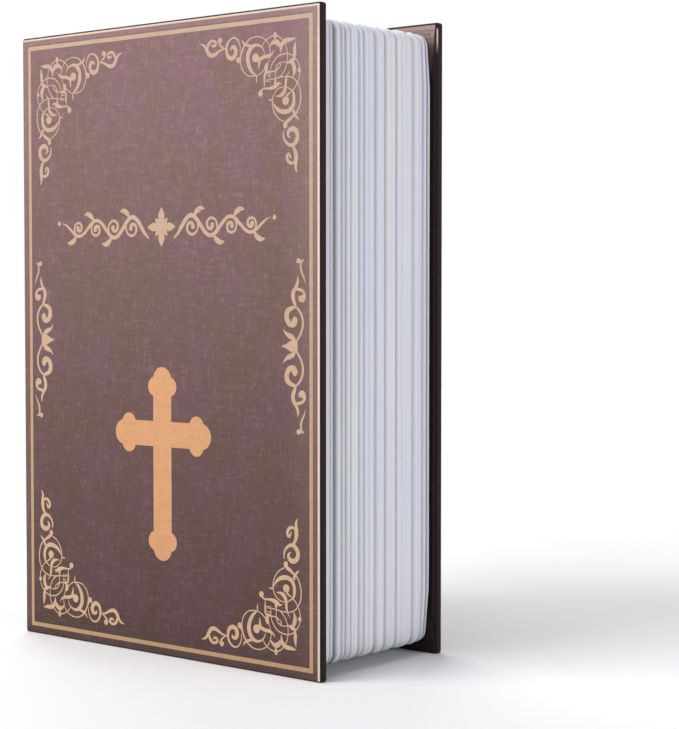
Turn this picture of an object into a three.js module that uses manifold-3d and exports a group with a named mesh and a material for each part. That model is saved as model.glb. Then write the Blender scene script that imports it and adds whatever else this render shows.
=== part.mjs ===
// A book safe: a hardcover case round a ribbed page block, which holds a small steel box with a locked door.
// Millimetres. X runs from the spine to the fore-edge, Y from the front cover to the back cover, Z is up.
// The origin lies at the foot, midway across the width and the thickness. The book stands closed and unlocked.

import * as THREE from 'three';
import { mergeVertices } from 'three/addons/utils/BufferGeometryUtils.js';
import Module from 'manifold-3d';

const wasm = await Module();
wasm.setup();

// Book case: greyboards in a printed wrap, with paper linings inside
const coverWidth = 118;
const coverHeight = 180;
const bookThickness = 54;
const boardThickness = 2;
const wrapThickness = 0.3;
const liningThickness = 0.3;
const turnInWidth = 12;
const hingeSlit = 0.4;

// Page block: a moulded white plastic shell with ribs like page edges
const headInset = 3;
const foreEdgeInset = 2.2;
const blockWall = 2.4;
const blockCornerRadius = 6.5;
const coverGap = 0.4;
const floorRimThickness = 3;
const floorRimWidth = 12;

// Steel box: tray, front rim and door stop
const trayGap = 0.5;
const traySheet = 1;
const trayCornerRadius = 3.2;
const rimSetback = 0.4;
const rimSheet = 1;
const rimWidth = 7;
const hingeRimWidth = 4;
const stopWidth = 2;

// Door: a pan of folded sheet steel, set back in the rim
const doorSheet = 1;
const doorSetback = 4.4;
const doorGap = 0.8;
const doorFoldDepth = 4;

// Door hinge: two leaves with rolled knuckles on one pin
const knuckleRadius = 2;
const hingePinRadius = 0.9;
const pinHeadRadius = 1.6;
const pinHeadHeight = 0.6;
const leafThickness = 1;
const hingeOffset = 2.5;
const frameLeafDepth = 7;
const doorLeafWidth = 9;
const knuckleCount = 7;
const hingeEndMargin = 6;

// Cam lock
const lockInset = 14;
const bezelRadius = 10;
const bezelFrontRadius = 7.7;
const bezelHeight = 4.2;
const bezelEdge = 0.7;
const barrelRadius = 8;
const barrelFlat = 7;
const barrelLength = 10;
const plugRadius = 5.5;
const plugHeadRadius = 6.6;
const plugHeadHeight = 1;
const plugSetback = 0.3;
const keyRecessRadius = 2.5;
const keyRecessDepth = 1.2;
const keywayLength = 7.6;
const keywayEndHeight = 2.2;
const keywayWaist = 1.4;
const keywayDepth = 10;
const driveSide = 6;
const washerRadius = 10.5;
const washerThickness = 0.8;
const nutAcrossFlats = 19;
const nutThickness = 3;
const camThickness = 1.8;
const camWidth = 12;
const camReach = 17.5;
const camTipRadius = 2;
const camScrewHeadRadius = 4.2;
const camScrewHeadHeight = 2;
const camScrewRadius = 1.5;
const camScrewLength = 5;

// Catch bracket: a steel angle on the tray wall that the cam turns behind
const catchSheet = 1;
const catchOverlap = 5;
const catchLegDepth = 11;
const catchLength = 30;
const catchRun = 0.5;

// Tray screws
const trayScrewRadius = 1.25;
const trayScrewHeadRadius = 2.8;
const trayScrewHeadHeight = 1.6;
const trayScrewLength = 3.6;
const screwSlotWidth = 0.7;
const screwSlotDepth = 0.8;

// A screw head's crown: its edge reaches this share of the height, and its flat top this share of the radius
const screwEdgeShare = 0.55;
const screwTopShare = 0.7;

// Clearance round every shaft, pin and edge that passes another piece
const clearance = 0.3;

// Page ribs: their widths and the depths of the grooves between them
const hairRib = 1;
const thinRib = 1.7;
const evenRib = 2.1;
const plumpRib = 2.7;
const fullRib = 3.4;
const broadRib = 4.6;
const shallowGroove = 0.45;
const middleGroove = 0.8;
const deepGroove = 1;
const ribEdgeInset = 0.35;

// Where a rib's curve has its edges, as shares of half its width from its middle
const ribStations = [-1, -0.7, 0, 0.7];

// Each rib from the front cover on, with the groove behind it. The last rib takes what is left.
const ribs = [
  [fullRib, middleGroove],
  [thinRib, deepGroove],
  [fullRib, middleGroove],
  [evenRib, middleGroove],
  [evenRib, shallowGroove],
  [thinRib, shallowGroove],
  [evenRib, middleGroove],
  [evenRib, middleGroove],
  [evenRib, shallowGroove],
  [thinRib, shallowGroove],
  [hairRib, middleGroove],
  [broadRib, middleGroove],
  [plumpRib, shallowGroove],
  [hairRib, shallowGroove],
  [hairRib, middleGroove],
  [plumpRib, shallowGroove],
  [broadRib, deepGroove],
  [broadRib, deepGroove],
  [evenRib, deepGroove],
];
const cornerSteps = 6;
const roundSteps = 14;

// Finishes: colours as red, green and blue from 0 to 255, with roughness and metalness from 0 to 1
const cloth = { colour: [112, 90, 88], roughness: 0.8, metalness: 0 };
const lining = { colour: [120, 98, 92], roughness: 0.9, metalness: 0 };
const greyboard = { colour: [150, 140, 125], roughness: 0.95, metalness: 0 };
const pagePlastic = { colour: [222, 222, 227], roughness: 0.5, metalness: 0 };
const coatedSteel = { colour: [72, 84, 82], roughness: 0.55, metalness: 0.2 };
const zinc = { colour: [185, 187, 190], roughness: 0.4, metalness: 0.9 };
const chrome = { colour: [215, 218, 222], roughness: 0.12, metalness: 1 };
const nickel = { colour: [190, 190, 184], roughness: 0.35, metalness: 1 };

// Places that the sizes give
const leftX = -coverWidth / 2;
const rightX = coverWidth / 2;
const frontY = -bookThickness / 2;
const backY = bookThickness / 2;
const coverThickness = wrapThickness + boardThickness + liningThickness;
const frontInsideY = frontY + coverThickness;
const backInsideY = backY - coverThickness;

const blockFrontY = frontInsideY + coverGap;
const blockBackY = backInsideY;
const blockLeftX = leftX + coverThickness;
const blockRightX = rightX - foreEdgeInset;
const blockLowZ = headInset;
const blockHighZ = coverHeight - headInset;
const floorRimY = blockBackY - floorRimThickness;

const trayInset = blockWall + trayGap;
const trayLeftX = blockLeftX + trayInset;
const trayRightX = blockRightX - trayInset;
const trayLowZ = blockLowZ + trayInset;
const trayHighZ = blockHighZ - trayInset;

const rimFrontY = blockFrontY + rimSetback;
const rimBackY = rimFrontY + rimSheet;
const openingLeftX = trayLeftX + hingeRimWidth;
const openingRightX = trayRightX - rimWidth;
const openingLowZ = trayLowZ + rimWidth;
const openingHighZ = trayHighZ - rimWidth;

const doorFrontY = rimFrontY + doorSetback;
const doorInsideY = doorFrontY + doorSheet;
const doorFoldY = doorFrontY + doorFoldDepth;
const stopFrontY = doorFoldY + clearance;
const stopBackY = stopFrontY + rimSheet;

const pivotX = openingLeftX + hingeOffset;
const pivotY = rimFrontY + knuckleRadius;
const doorLeftX = pivotX + knuckleRadius + clearance;
const doorRightX = openingRightX - doorGap;
const doorLowZ = openingLowZ + doorGap;
const doorHighZ = openingHighZ - doorGap;

const lockX = doorRightX - lockInset;
const lockZ = (doorLowZ + doorHighZ) / 2;
const barrelEndY = doorInsideY + barrelLength;
const camFrontY = barrelEndY + clearance;
const camBackY = camFrontY + camThickness;

// Geometry helpers

// Turns a closed geometry into one with shared vertices, no empty triangles and faces that point out.
function closed(geometry) {
  const bare = geometry.index ? geometry : geometry.clone();
  bare.deleteAttribute('normal');
  bare.deleteAttribute('uv');
  const merged = mergeVertices(bare, 1e-4);
  const place = merged.attributes.position;
  const a = new THREE.Vector3();
  const b = new THREE.Vector3();
  const c = new THREE.Vector3();
  const faces = [];
  let volume = 0;
  for (let i = 0; i < merged.index.count; i += 3) {
    const face = [merged.index.getX(i), merged.index.getX(i + 1), merged.index.getX(i + 2)];
    if (face[0] === face[1] || face[1] === face[2] || face[2] === face[0]) continue;
    a.fromBufferAttribute(place, face[0]);
    b.fromBufferAttribute(place, face[1]);
    c.fromBufferAttribute(place, face[2]);
    volume += a.dot(b.cross(c)) / 6;
    faces.push(face);
  }
  const ordered = volume < 0 ? faces.map(([i, j, k]) => [i, k, j]) : faces;
  merged.setIndex(ordered.flat());
  return merged;
}

function toSolid(geometry) {
  const shell = closed(geometry);
  const vertProperties = new Float32Array(shell.attributes.position.array);
  const triVerts = new Uint32Array(shell.index.array);
  return new wasm.Manifold(new wasm.Mesh({ numProp: 3, vertProperties, triVerts }));
}

function fromSolid(solid) {
  const result = solid.getMesh();
  const geometry = new THREE.BufferGeometry();
  geometry.setAttribute('position', new THREE.BufferAttribute(result.vertProperties, 3));
  geometry.setIndex(new THREE.BufferAttribute(result.triVerts, 1));
  return geometry;
}

function cut(geometry, ...tools) {
  const left = tools.reduce((solid, tool) => solid.subtract(toSolid(tool)), toSolid(geometry));
  return fromSolid(left);
}

function join(geometry, ...others) {
  const whole = others.reduce((solid, other) => solid.add(toSolid(other)), toSolid(geometry));
  return fromSolid(whole);
}

// A box from its low corner to its high corner, with the given numbers kept exactly.
function slab(low, high) {
  const geometry = new THREE.BoxGeometry(1, 1, 1);
  const place = geometry.attributes.position;
  for (let i = 0; i < place.count; i += 1) {
    place.setXYZ(
      i,
      place.getX(i) < 0 ? low[0] : high[0],
      place.getY(i) < 0 ? low[1] : high[1],
      place.getZ(i) < 0 ? low[2] : high[2],
    );
  }
  return geometry;
}

// A flat outline in X and Z, carried along Y.
function plateAlongY(outline, fromY, toY) {
  const geometry = new THREE.ExtrudeGeometry(outline, { depth: 1, bevelEnabled: false, curveSegments: roundSteps });
  const place = geometry.attributes.position;
  for (let i = 0; i < place.count; i += 1) {
    place.setXYZ(i, place.getX(i), place.getZ(i) < 0.5 ? fromY : toY, place.getY(i));
  }
  return geometry;
}

// A flat outline in X and Y, carried along Z.
function barAlongZ(outline, fromZ, toZ) {
  const geometry = new THREE.ExtrudeGeometry(outline, { depth: 1, bevelEnabled: false, curveSegments: roundSteps });
  const place = geometry.attributes.position;
  for (let i = 0; i < place.count; i += 1) {
    place.setZ(i, place.getZ(i) < 0.5 ? fromZ : toZ);
  }
  return geometry;
}

// A turned piece about an axis along Y that passes through x and z. The profile is pairs of radius and Y.
function turned(profile, x, z) {
  const points = profile.map(([radius, y]) => new THREE.Vector2(radius, y));
  const geometry = new THREE.LatheGeometry(points, 2 * roundSteps);
  geometry.translate(x, 0, z);
  return geometry;
}

// A rectangle with round corners, between two corner points.
function roundedRectangle([lowX, lowY], [highX, highY], radius) {
  const outline = new THREE.Shape();
  outline.absarc(highX - radius, lowY + radius, radius, -Math.PI / 2, 0);
  outline.absarc(highX - radius, highY - radius, radius, 0, Math.PI / 2);
  outline.absarc(lowX + radius, highY - radius, radius, Math.PI / 2, Math.PI);
  outline.absarc(lowX + radius, lowY + radius, radius, Math.PI, 1.5 * Math.PI);
  outline.closePath();
  return outline;
}

function disc(radius, x, y) {
  const outline = new THREE.Shape();
  outline.absarc(x, y, radius, 0, 2 * Math.PI);
  return outline;
}

function rod(radius, x, z, fromY, toY) {
  return turned([[0, fromY], [radius, fromY], [radius, toY], [0, toY]], x, z);
}

// Cover pieces

// The wrap of a cover: a skin outside the board, over its edges and turned in on the inside.
// The spine edge at fromX stays open, because there the wrap runs on to the spine.
function coverWrap(fromX, outsideY, insideY) {
  const inward = Math.sign(insideY - outsideY);
  const boardOutsideY = outsideY + inward * wrapThickness;
  const boardInsideY = boardOutsideY + inward * boardThickness;
  const beyond = coverThickness;
  const lowY = Math.min(outsideY, insideY);
  const highY = Math.max(outsideY, insideY);
  const skin = slab([fromX, lowY, 0], [rightX, highY, coverHeight]);
  const boardSpace = slab(
    [fromX - beyond, Math.min(boardOutsideY, boardInsideY), wrapThickness],
    [rightX - wrapThickness, Math.max(boardOutsideY, boardInsideY), coverHeight - wrapThickness],
  );
  const insideEndY = insideY + inward * beyond;
  const window = slab(
    [fromX - beyond, Math.min(boardInsideY, insideEndY), turnInWidth],
    [rightX - turnInWidth, Math.max(boardInsideY, insideEndY), coverHeight - turnInWidth],
  );
  return cut(skin, boardSpace, window);
}

function coverBoard(fromX, lowY) {
  return slab(
    [fromX, lowY, wrapThickness],
    [rightX - wrapThickness, lowY + boardThickness, coverHeight - wrapThickness],
  );
}

// The lining paper fills the inside of the cover between the wrap's turned-in edges.
function coverLining(fromX, lowY, highY) {
  return slab([fromX, lowY, turnInWidth], [rightX - turnInWidth, highY, coverHeight - turnInWidth]);
}

const frontEdgeX = leftX + wrapThickness + hingeSlit;
const backEdgeX = leftX + wrapThickness;
const frontBoardInsideY = frontInsideY - liningThickness;
const backBoardInsideY = backInsideY + liningThickness;

// The spine wrap: a skin over the whole thickness, turned in over the head and tail of the spine board.
function spineWrap() {
  const skinX = leftX + wrapThickness;
  const skin = slab([leftX, frontY, 0], [skinX, backY, coverHeight]);
  const sleeve = slab([leftX, blockFrontY, 0], [blockLeftX, backInsideY, coverHeight]);
  const boardSpace = slab(
    [skinX, frontY, wrapThickness],
    [skinX + boardThickness, backY, coverHeight - wrapThickness],
  );
  const window = slab(
    [skinX + boardThickness, frontY, turnInWidth],
    [blockLeftX + coverThickness, backY, coverHeight - turnInWidth],
  );
  return cut(join(skin, sleeve), boardSpace, window);
}

function spineBoard() {
  const skinX = leftX + wrapThickness;
  return slab(
    [skinX, blockFrontY, wrapThickness],
    [skinX + boardThickness, backInsideY, coverHeight - wrapThickness],
  );
}

// Page block

// The inset of the ribbed surface across the thickness: each rib is a crown between two grooves,
// nought at its middle and growing with the cube of the distance towards each groove.
function ribProfile() {
  const depth = blockBackY - blockFrontY;
  const edges = [[0, ribEdgeInset]];
  let reach = 0;
  for (const [width, groove] of ribs) {
    reach += width;
    if (reach < depth - hairRib) edges.push([reach, groove]);
  }
  edges.push([depth, ribEdgeInset]);
  const stations = [];
  for (let i = 0; i + 1 < edges.length; i += 1) {
    const [from, fromInset] = edges[i];
    const [to, toInset] = edges[i + 1];
    for (const t of ribStations) {
      const inset = (t < 0 ? fromInset : toInset) * Math.abs(t) ** 3;
      stations.push([blockFrontY + (from + to) / 2 + ((to - from) / 2) * t, inset]);
    }
  }
  stations.push([blockBackY, ribEdgeInset]);
  return stations;
}

// The outline of the block in X and Z at one inset: straight at the spine, round at the fore-edge corners.
function blockOutline(inset) {
  const points = [[blockLeftX, blockLowZ + inset]];
  const centreX = blockRightX - blockCornerRadius;
  const radius = blockCornerRadius - inset;
  const corners = [
    [blockLowZ + blockCornerRadius, -Math.PI / 2],
    [blockHighZ - blockCornerRadius, 0],
  ];
  for (const [centreZ, startAngle] of corners) {
    for (let step = 0; step <= cornerSteps; step += 1) {
      const angle = startAngle + (step / cornerSteps) * (Math.PI / 2);
      points.push([centreX + radius * Math.cos(angle), centreZ + radius * Math.sin(angle)]);
    }
  }
  points.push([blockLeftX, blockHighZ - inset]);
  return points;
}

// A solid with the block's ribbed outside: the outline is carried from the front to the back.
function ribbedSolid() {
  const stations = ribProfile();
  const positions = [];
  const faces = [];
  const count = blockOutline(0).length;
  for (const [y, inset] of stations) {
    for (const [x, z] of blockOutline(inset)) {
      positions.push(x, y, z);
    }
  }
  for (let row = 0; row + 1 < stations.length; row += 1) {
    for (let i = 0; i < count; i += 1) {
      const here = row * count + i;
      const next = row * count + ((i + 1) % count);
      faces.push(here, next, next + count, here, next + count, here + count);
    }
  }
  const last = (stations.length - 1) * count;
  for (let i = 1; i + 1 < count; i += 1) {
    faces.push(0, i + 1, i);
    faces.push(last, last + i, last + i + 1);
  }
  const geometry = new THREE.BufferGeometry();
  geometry.setAttribute('position', new THREE.Float32BufferAttribute(positions, 3));
  geometry.setIndex(faces);
  return geometry;
}

const screwInset = blockWall + floorRimWidth / 2;
const trayScrewPlaces = [blockLowZ + screwInset, blockHighZ - screwInset].flatMap((z) => [
  [blockLeftX + screwInset, z],
  [blockRightX - screwInset, z],
]);
const trayScrewHoles = () => trayScrewPlaces.map(([x, z]) => (
  rod(trayScrewRadius + clearance, x, z, floorRimY - 2 * traySheet, blockBackY + clearance)
));

// The outline of the steel box in X and Z, grown by a margin on every side.
function trayOutline(margin) {
  return roundedRectangle(
    [trayLeftX - margin, trayLowZ - margin],
    [trayRightX + margin, trayHighZ + margin],
    trayCornerRadius + margin,
  );
}

function pageBlock() {
  const hollow = plateAlongY(trayOutline(trayGap), blockFrontY - clearance, floorRimY);
  const floorInset = blockWall + floorRimWidth;
  const floorOpening = slab(
    [blockLeftX + floorInset, blockFrontY, blockLowZ + floorInset],
    [blockRightX - floorInset, blockBackY + clearance, blockHighZ - floorInset],
  );
  return cut(ribbedSolid(), hollow, floorOpening, ...trayScrewHoles());
}

// Steel box

function steelTray() {
  const outside = plateAlongY(trayOutline(0), rimBackY, floorRimY);
  const inside = plateAlongY(trayOutline(-traySheet), rimBackY - traySheet, floorRimY - traySheet);
  return cut(outside, inside, ...trayScrewHoles());
}

// The rim: a flat band round the opening, folded back along the door's edges to a narrow door stop.
function frontRim() {
  const band = plateAlongY(trayOutline(0), rimFrontY, rimBackY);
  const folds = slab(
    [openingLeftX - rimSheet, rimFrontY, openingLowZ - rimSheet],
    [openingRightX + rimSheet, stopBackY, openingHighZ + rimSheet],
  );
  const doorSpace = slab(
    [openingLeftX, rimFrontY - rimSheet, openingLowZ],
    [openingRightX, stopFrontY, openingHighZ],
  );
  const stopOpening = slab(
    [openingLeftX, stopFrontY - rimSheet, openingLowZ + stopWidth],
    [openingRightX - stopWidth, stopBackY + rimSheet, openingHighZ - stopWidth],
  );
  return cut(join(band, folds), doorSpace, stopOpening);
}

const camTipX = lockX + camReach;
const catchEdgeX = camTipX - catchOverlap;

// An angle of sheet steel: one leg on the tray wall, the other a lip just in front of the cam.
function catchBracket() {
  const wallX = trayRightX - traySheet;
  const lipBackY = camFrontY - catchRun;
  const lowZ = lockZ - catchLength / 2;
  const highZ = lockZ + catchLength / 2;
  const lip = slab([catchEdgeX, lipBackY - catchSheet, lowZ], [wallX, lipBackY, highZ]);
  const leg = slab([wallX - catchSheet, lipBackY - catchLegDepth, lowZ], [wallX, lipBackY, highZ]);
  return join(lip, leg);
}

// Hinge

const hingeLowZ = doorLowZ + hingeEndMargin;
const hingeHighZ = doorHighZ - hingeEndMargin;
const knucklePitch = (hingeHighZ - hingeLowZ) / knuckleCount;

// The ends of knuckle number i, with half the clearance left at each end.
function knuckleSpan(i) {
  const fromZ = hingeLowZ + i * knucklePitch;
  return [fromZ + clearance / 2, fromZ + knucklePitch - clearance / 2];
}

function knuckle(i) {
  const [fromZ, toZ] = knuckleSpan(i);
  return barAlongZ(disc(knuckleRadius, pivotX, pivotY), fromZ, toZ);
}

function pinBore() {
  const margin = 2 * clearance;
  return barAlongZ(disc(hingePinRadius + clearance, pivotX, pivotY), hingeLowZ - margin, hingeHighZ + margin);
}

// The space that the other leaf's knuckle number i turns in.
function knuckleSpace(i) {
  const fromZ = hingeLowZ + i * knucklePitch - clearance / 2;
  const radius = knuckleRadius + clearance;
  return barAlongZ(disc(radius, pivotX, pivotY), fromZ, fromZ + knucklePitch + clearance);
}

const knuckleNumbers = [...Array(knuckleCount).keys()];
const frameKnuckles = knuckleNumbers.filter((i) => i % 2 === 0);
const doorKnuckles = knuckleNumbers.filter((i) => i % 2 === 1);

// The leaf on the rim lies flat on its fold and ends in the outer knuckles.
function frameHingeLeaf() {
  const [lowZ] = knuckleSpan(0);
  const [, highZ] = knuckleSpan(knuckleCount - 1);
  const plate = slab(
    [openingLeftX, pivotY - leafThickness, lowZ],
    [openingLeftX + leafThickness, pivotY + frameLeafDepth, highZ],
  );
  const leaf = cut(plate, ...doorKnuckles.map(knuckleSpace));
  return cut(join(leaf, ...frameKnuckles.map(knuckle)), pinBore());
}

// The leaf on the door lies on its inside, turns forward past its edge and ends in the inner knuckles.
function doorHingeLeaf() {
  const [lowZ] = knuckleSpan(0);
  const [, highZ] = knuckleSpan(knuckleCount - 1);
  const webX = pivotX + knuckleRadius - leafThickness;
  const plateBackY = doorInsideY + leafThickness;
  const plate = slab([webX, doorInsideY, lowZ], [doorLeftX + doorLeafWidth, plateBackY, highZ]);
  const webs = doorKnuckles.map((i) => {
    const [fromZ, toZ] = knuckleSpan(i);
    return slab([webX, pivotY, fromZ], [pivotX + knuckleRadius, plateBackY, toZ]);
  });
  return cut(join(plate, ...webs, ...doorKnuckles.map(knuckle)), pinBore());
}

function hingePin() {
  const shankLowZ = hingeLowZ - clearance;
  const shankHighZ = hingeHighZ + clearance;
  const head = (fromZ, toZ) => barAlongZ(disc(pinHeadRadius, pivotX, pivotY), fromZ, toZ);
  return join(
    barAlongZ(disc(hingePinRadius, pivotX, pivotY), shankLowZ, shankHighZ),
    head(shankLowZ - pinHeadHeight, shankLowZ),
    head(shankHighZ, shankHighZ + pinHeadHeight),
  );
}

// Door

// A shaft along Y at the lock, with two flats that stop it from turning.
function flattedShaft(radius, flat, fromY, toY) {
  const shaft = rod(radius, lockX, lockZ, fromY, toY);
  const beyond = radius + 1;
  const flats = [-1, 1].map((side) => slab(
    [lockX - beyond, fromY - 1, Math.min(lockZ + side * flat, lockZ + side * beyond)],
    [lockX + beyond, toY + 1, Math.max(lockZ + side * flat, lockZ + side * beyond)],
  ));
  return cut(shaft, ...flats);
}

// A pan: folded back at the head, the tail and the fore-edge, open along the hinge.
function doorPanel() {
  const pan = slab([doorLeftX, doorFrontY, doorLowZ], [doorRightX, doorFoldY, doorHighZ]);
  const inside = slab(
    [doorLeftX - doorSheet, doorInsideY, doorLowZ + doorSheet],
    [doorRightX - doorSheet, doorFoldY + doorSheet, doorHighZ - doorSheet],
  );
  const lockHole = flattedShaft(
    barrelRadius + clearance,
    barrelFlat + clearance,
    doorFrontY - doorSheet,
    doorInsideY + doorSheet,
  );
  return cut(pan, inside, lockHole);
}

// Lock

const bezelFrontY = doorFrontY - bezelHeight;
const plugFrontY = bezelFrontY + plugSetback;
const plugHeadBackY = plugFrontY + plugHeadHeight;
const seatY = plugHeadBackY + clearance;

function lockHousing() {
  const boreRadius = plugRadius + clearance;
  const seatRadius = plugHeadRadius + clearance;
  const bezel = turned([
    [0, bezelFrontY],
    [bezelFrontRadius, bezelFrontY],
    [bezelRadius, doorFrontY - bezelEdge],
    [bezelRadius, doorFrontY],
    [0, doorFrontY],
  ], lockX, lockZ);
  const barrel = flattedShaft(barrelRadius, barrelFlat, doorFrontY - bezelEdge, barrelEndY);
  const bore = rod(boreRadius, lockX, lockZ, bezelFrontY - 1, barrelEndY + 1);
  const seat = rod(seatRadius, lockX, lockZ, bezelFrontY - 1, seatY);
  return cut(join(bezel, barrel), bore, seat);
}

// The keyway is a slot with a narrow waist, as wide key slots have, inside a round lead-in.
function keyway() {
  const half = keywayLength / 2;
  const end = keywayEndHeight / 2;
  const waist = keywayWaist / 2;
  const outline = new THREE.Shape([
    new THREE.Vector2(lockX - half, lockZ - end),
    new THREE.Vector2(lockX - waist, lockZ - waist),
    new THREE.Vector2(lockX + waist, lockZ - waist),
    new THREE.Vector2(lockX + half, lockZ - end),
    new THREE.Vector2(lockX + half, lockZ + end),
    new THREE.Vector2(lockX + waist, lockZ + waist),
    new THREE.Vector2(lockX - waist, lockZ + waist),
    new THREE.Vector2(lockX - half, lockZ + end),
  ]);
  return plateAlongY(outline, plugFrontY - 1, plugFrontY + keywayDepth);
}

function lockPlug() {
  const body = turned([
    [0, plugFrontY],
    [plugHeadRadius, plugFrontY],
    [plugHeadRadius, plugHeadBackY],
    [plugRadius, plugHeadBackY],
    [plugRadius, barrelEndY],
    [0, barrelEndY],
  ], lockX, lockZ);
  const half = driveSide / 2;
  const drive = slab(
    [lockX - half, barrelEndY - half, lockZ - half],
    [lockX + half, camBackY, lockZ + half],
  );
  const leadIn = rod(keyRecessRadius, lockX, lockZ, plugFrontY - 1, plugFrontY + keyRecessDepth);
  const screwHole = rod(
    camScrewRadius + clearance,
    lockX,
    lockZ,
    camBackY - camScrewLength - clearance,
    camBackY + 1,
  );
  return cut(join(body, drive), keyway(), leadIn, screwHole);
}

function ringAtLock(outline, holeRadius, fromY, toY) {
  const hole = new THREE.Path();
  hole.absarc(lockX, lockZ, holeRadius, 0, 2 * Math.PI);
  outline.holes.push(hole);
  return plateAlongY(outline, fromY, toY);
}

const washerBackY = doorInsideY + washerThickness;
const threadHoleRadius = barrelRadius + clearance;

function lockWasher() {
  return ringAtLock(disc(washerRadius, lockX, lockZ), threadHoleRadius, doorInsideY, washerBackY);
}

function lockNut() {
  const cornerRadius = nutAcrossFlats / Math.sqrt(3);
  const corners = [...Array(6).keys()].map((i) => {
    const angle = (i * Math.PI) / 3 + Math.PI / 6;
    return new THREE.Vector2(lockX + cornerRadius * Math.cos(angle), lockZ + cornerRadius * Math.sin(angle));
  });
  return ringAtLock(new THREE.Shape(corners), threadHoleRadius, washerBackY, washerBackY + nutThickness);
}

// The cam points up when the lock is open, and turns towards the fore-edge to lock.
function lockCam() {
  const half = camWidth / 2;
  const tipZ = lockZ + camReach;
  const outline = new THREE.Shape();
  outline.absarc(lockX, lockZ, half, Math.PI, 2 * Math.PI);
  outline.lineTo(lockX + half, tipZ - camTipRadius);
  outline.absarc(lockX + half - camTipRadius, tipZ - camTipRadius, camTipRadius, 0, Math.PI / 2);
  outline.lineTo(lockX - half + camTipRadius, tipZ);
  outline.absarc(lockX - half + camTipRadius, tipZ - camTipRadius, camTipRadius, Math.PI / 2, Math.PI);
  outline.closePath();
  const holeHalf = driveSide / 2 + clearance;
  const plate = plateAlongY(outline, camFrontY, camBackY);
  const driveHole = slab(
    [lockX - holeHalf, camFrontY - 1, lockZ - holeHalf],
    [lockX + holeHalf, camBackY + 1, lockZ + holeHalf],
  );
  return cut(plate, driveHole);
}

// A screw along Y with a domed, slotted head. Its head sits on seatingY and points towards side.
function slottedScrew(x, z, seatingY, side, shankRadius, shankLength, headRadius, headHeight) {
  const topY = seatingY + side * headHeight;
  const domeY = seatingY + side * headHeight * screwEdgeShare;
  const screw = turned([
    [0, seatingY - side * shankLength],
    [shankRadius, seatingY - side * shankLength],
    [shankRadius, seatingY],
    [headRadius, seatingY],
    [headRadius, domeY],
    [headRadius * screwTopShare, topY],
    [0, topY],
  ], x, z);
  const slotFloorY = topY - side * screwSlotDepth;
  const slotEndY = topY + side;
  const slot = slab(
    [x - headRadius - 1, Math.min(slotFloorY, slotEndY), z - screwSlotWidth / 2],
    [x + headRadius + 1, Math.max(slotFloorY, slotEndY), z + screwSlotWidth / 2],
  );
  return cut(screw, slot);
}

const camScrew = () => slottedScrew(
  lockX,
  lockZ,
  camBackY,
  1,
  camScrewRadius,
  camScrewLength,
  camScrewHeadRadius,
  camScrewHeadHeight,
);

const trayScrew = ([x, z]) => slottedScrew(
  x,
  z,
  floorRimY - traySheet,
  -1,
  trayScrewRadius,
  trayScrewLength,
  trayScrewHeadRadius,
  trayScrewHeadHeight,
);

// The assembly

const book = new THREE.Group();

function addPiece(name, geometry, { colour, roughness, metalness }) {
  const [red, green, blue] = colour.map((value) => value / 255);
  const material = new THREE.MeshStandardMaterial({ roughness, metalness });
  material.color.setRGB(red, green, blue, THREE.SRGBColorSpace);
  const mesh = new THREE.Mesh(closed(geometry), material);
  mesh.geometry.computeVertexNormals();
  mesh.name = name;
  book.add(mesh);
}

addPiece('front_cover_wrap', coverWrap(frontEdgeX, frontY, frontInsideY), cloth);
addPiece('front_cover_board', coverBoard(frontEdgeX, frontY + wrapThickness), greyboard);
addPiece('front_cover_lining', coverLining(frontEdgeX, frontBoardInsideY, frontInsideY), lining);
addPiece('spine_wrap', spineWrap(), cloth);
addPiece('spine_board', spineBoard(), greyboard);
addPiece('back_cover_wrap', coverWrap(backEdgeX, backY, backInsideY), cloth);
addPiece('back_cover_board', coverBoard(backEdgeX, backBoardInsideY), greyboard);
addPiece('back_cover_lining', coverLining(backEdgeX, backInsideY, backBoardInsideY), lining);
addPiece('page_block', pageBlock(), pagePlastic);
addPiece('steel_tray', steelTray(), coatedSteel);
addPiece('front_rim', frontRim(), coatedSteel);
addPiece('catch_bracket', catchBracket(), zinc);
addPiece('rim_hinge_leaf', frameHingeLeaf(), coatedSteel);
addPiece('door_hinge_leaf', doorHingeLeaf(), coatedSteel);
addPiece('hinge_pin', hingePin(), zinc);
addPiece('door_panel', doorPanel(), coatedSteel);
addPiece('lock_housing', lockHousing(), chrome);
addPiece('lock_plug', lockPlug(), nickel);
addPiece('lock_washer', lockWasher(), zinc);
addPiece('lock_nut', lockNut(), zinc);
addPiece('lock_cam', lockCam(), zinc);
addPiece('cam_screw', camScrew(), zinc);
trayScrewPlaces.forEach((place, i) => addPiece(`tray_screw_${i + 1}`, trayScrew(place), zinc));

export default book;
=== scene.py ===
"""A book safe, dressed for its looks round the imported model.

Lengths are in millimetres until a mesh is made. X runs from the spine to the fore-edge, Y from the front
cover to the back cover, and Z is up. The book stands closed.
"""

import math

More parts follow.
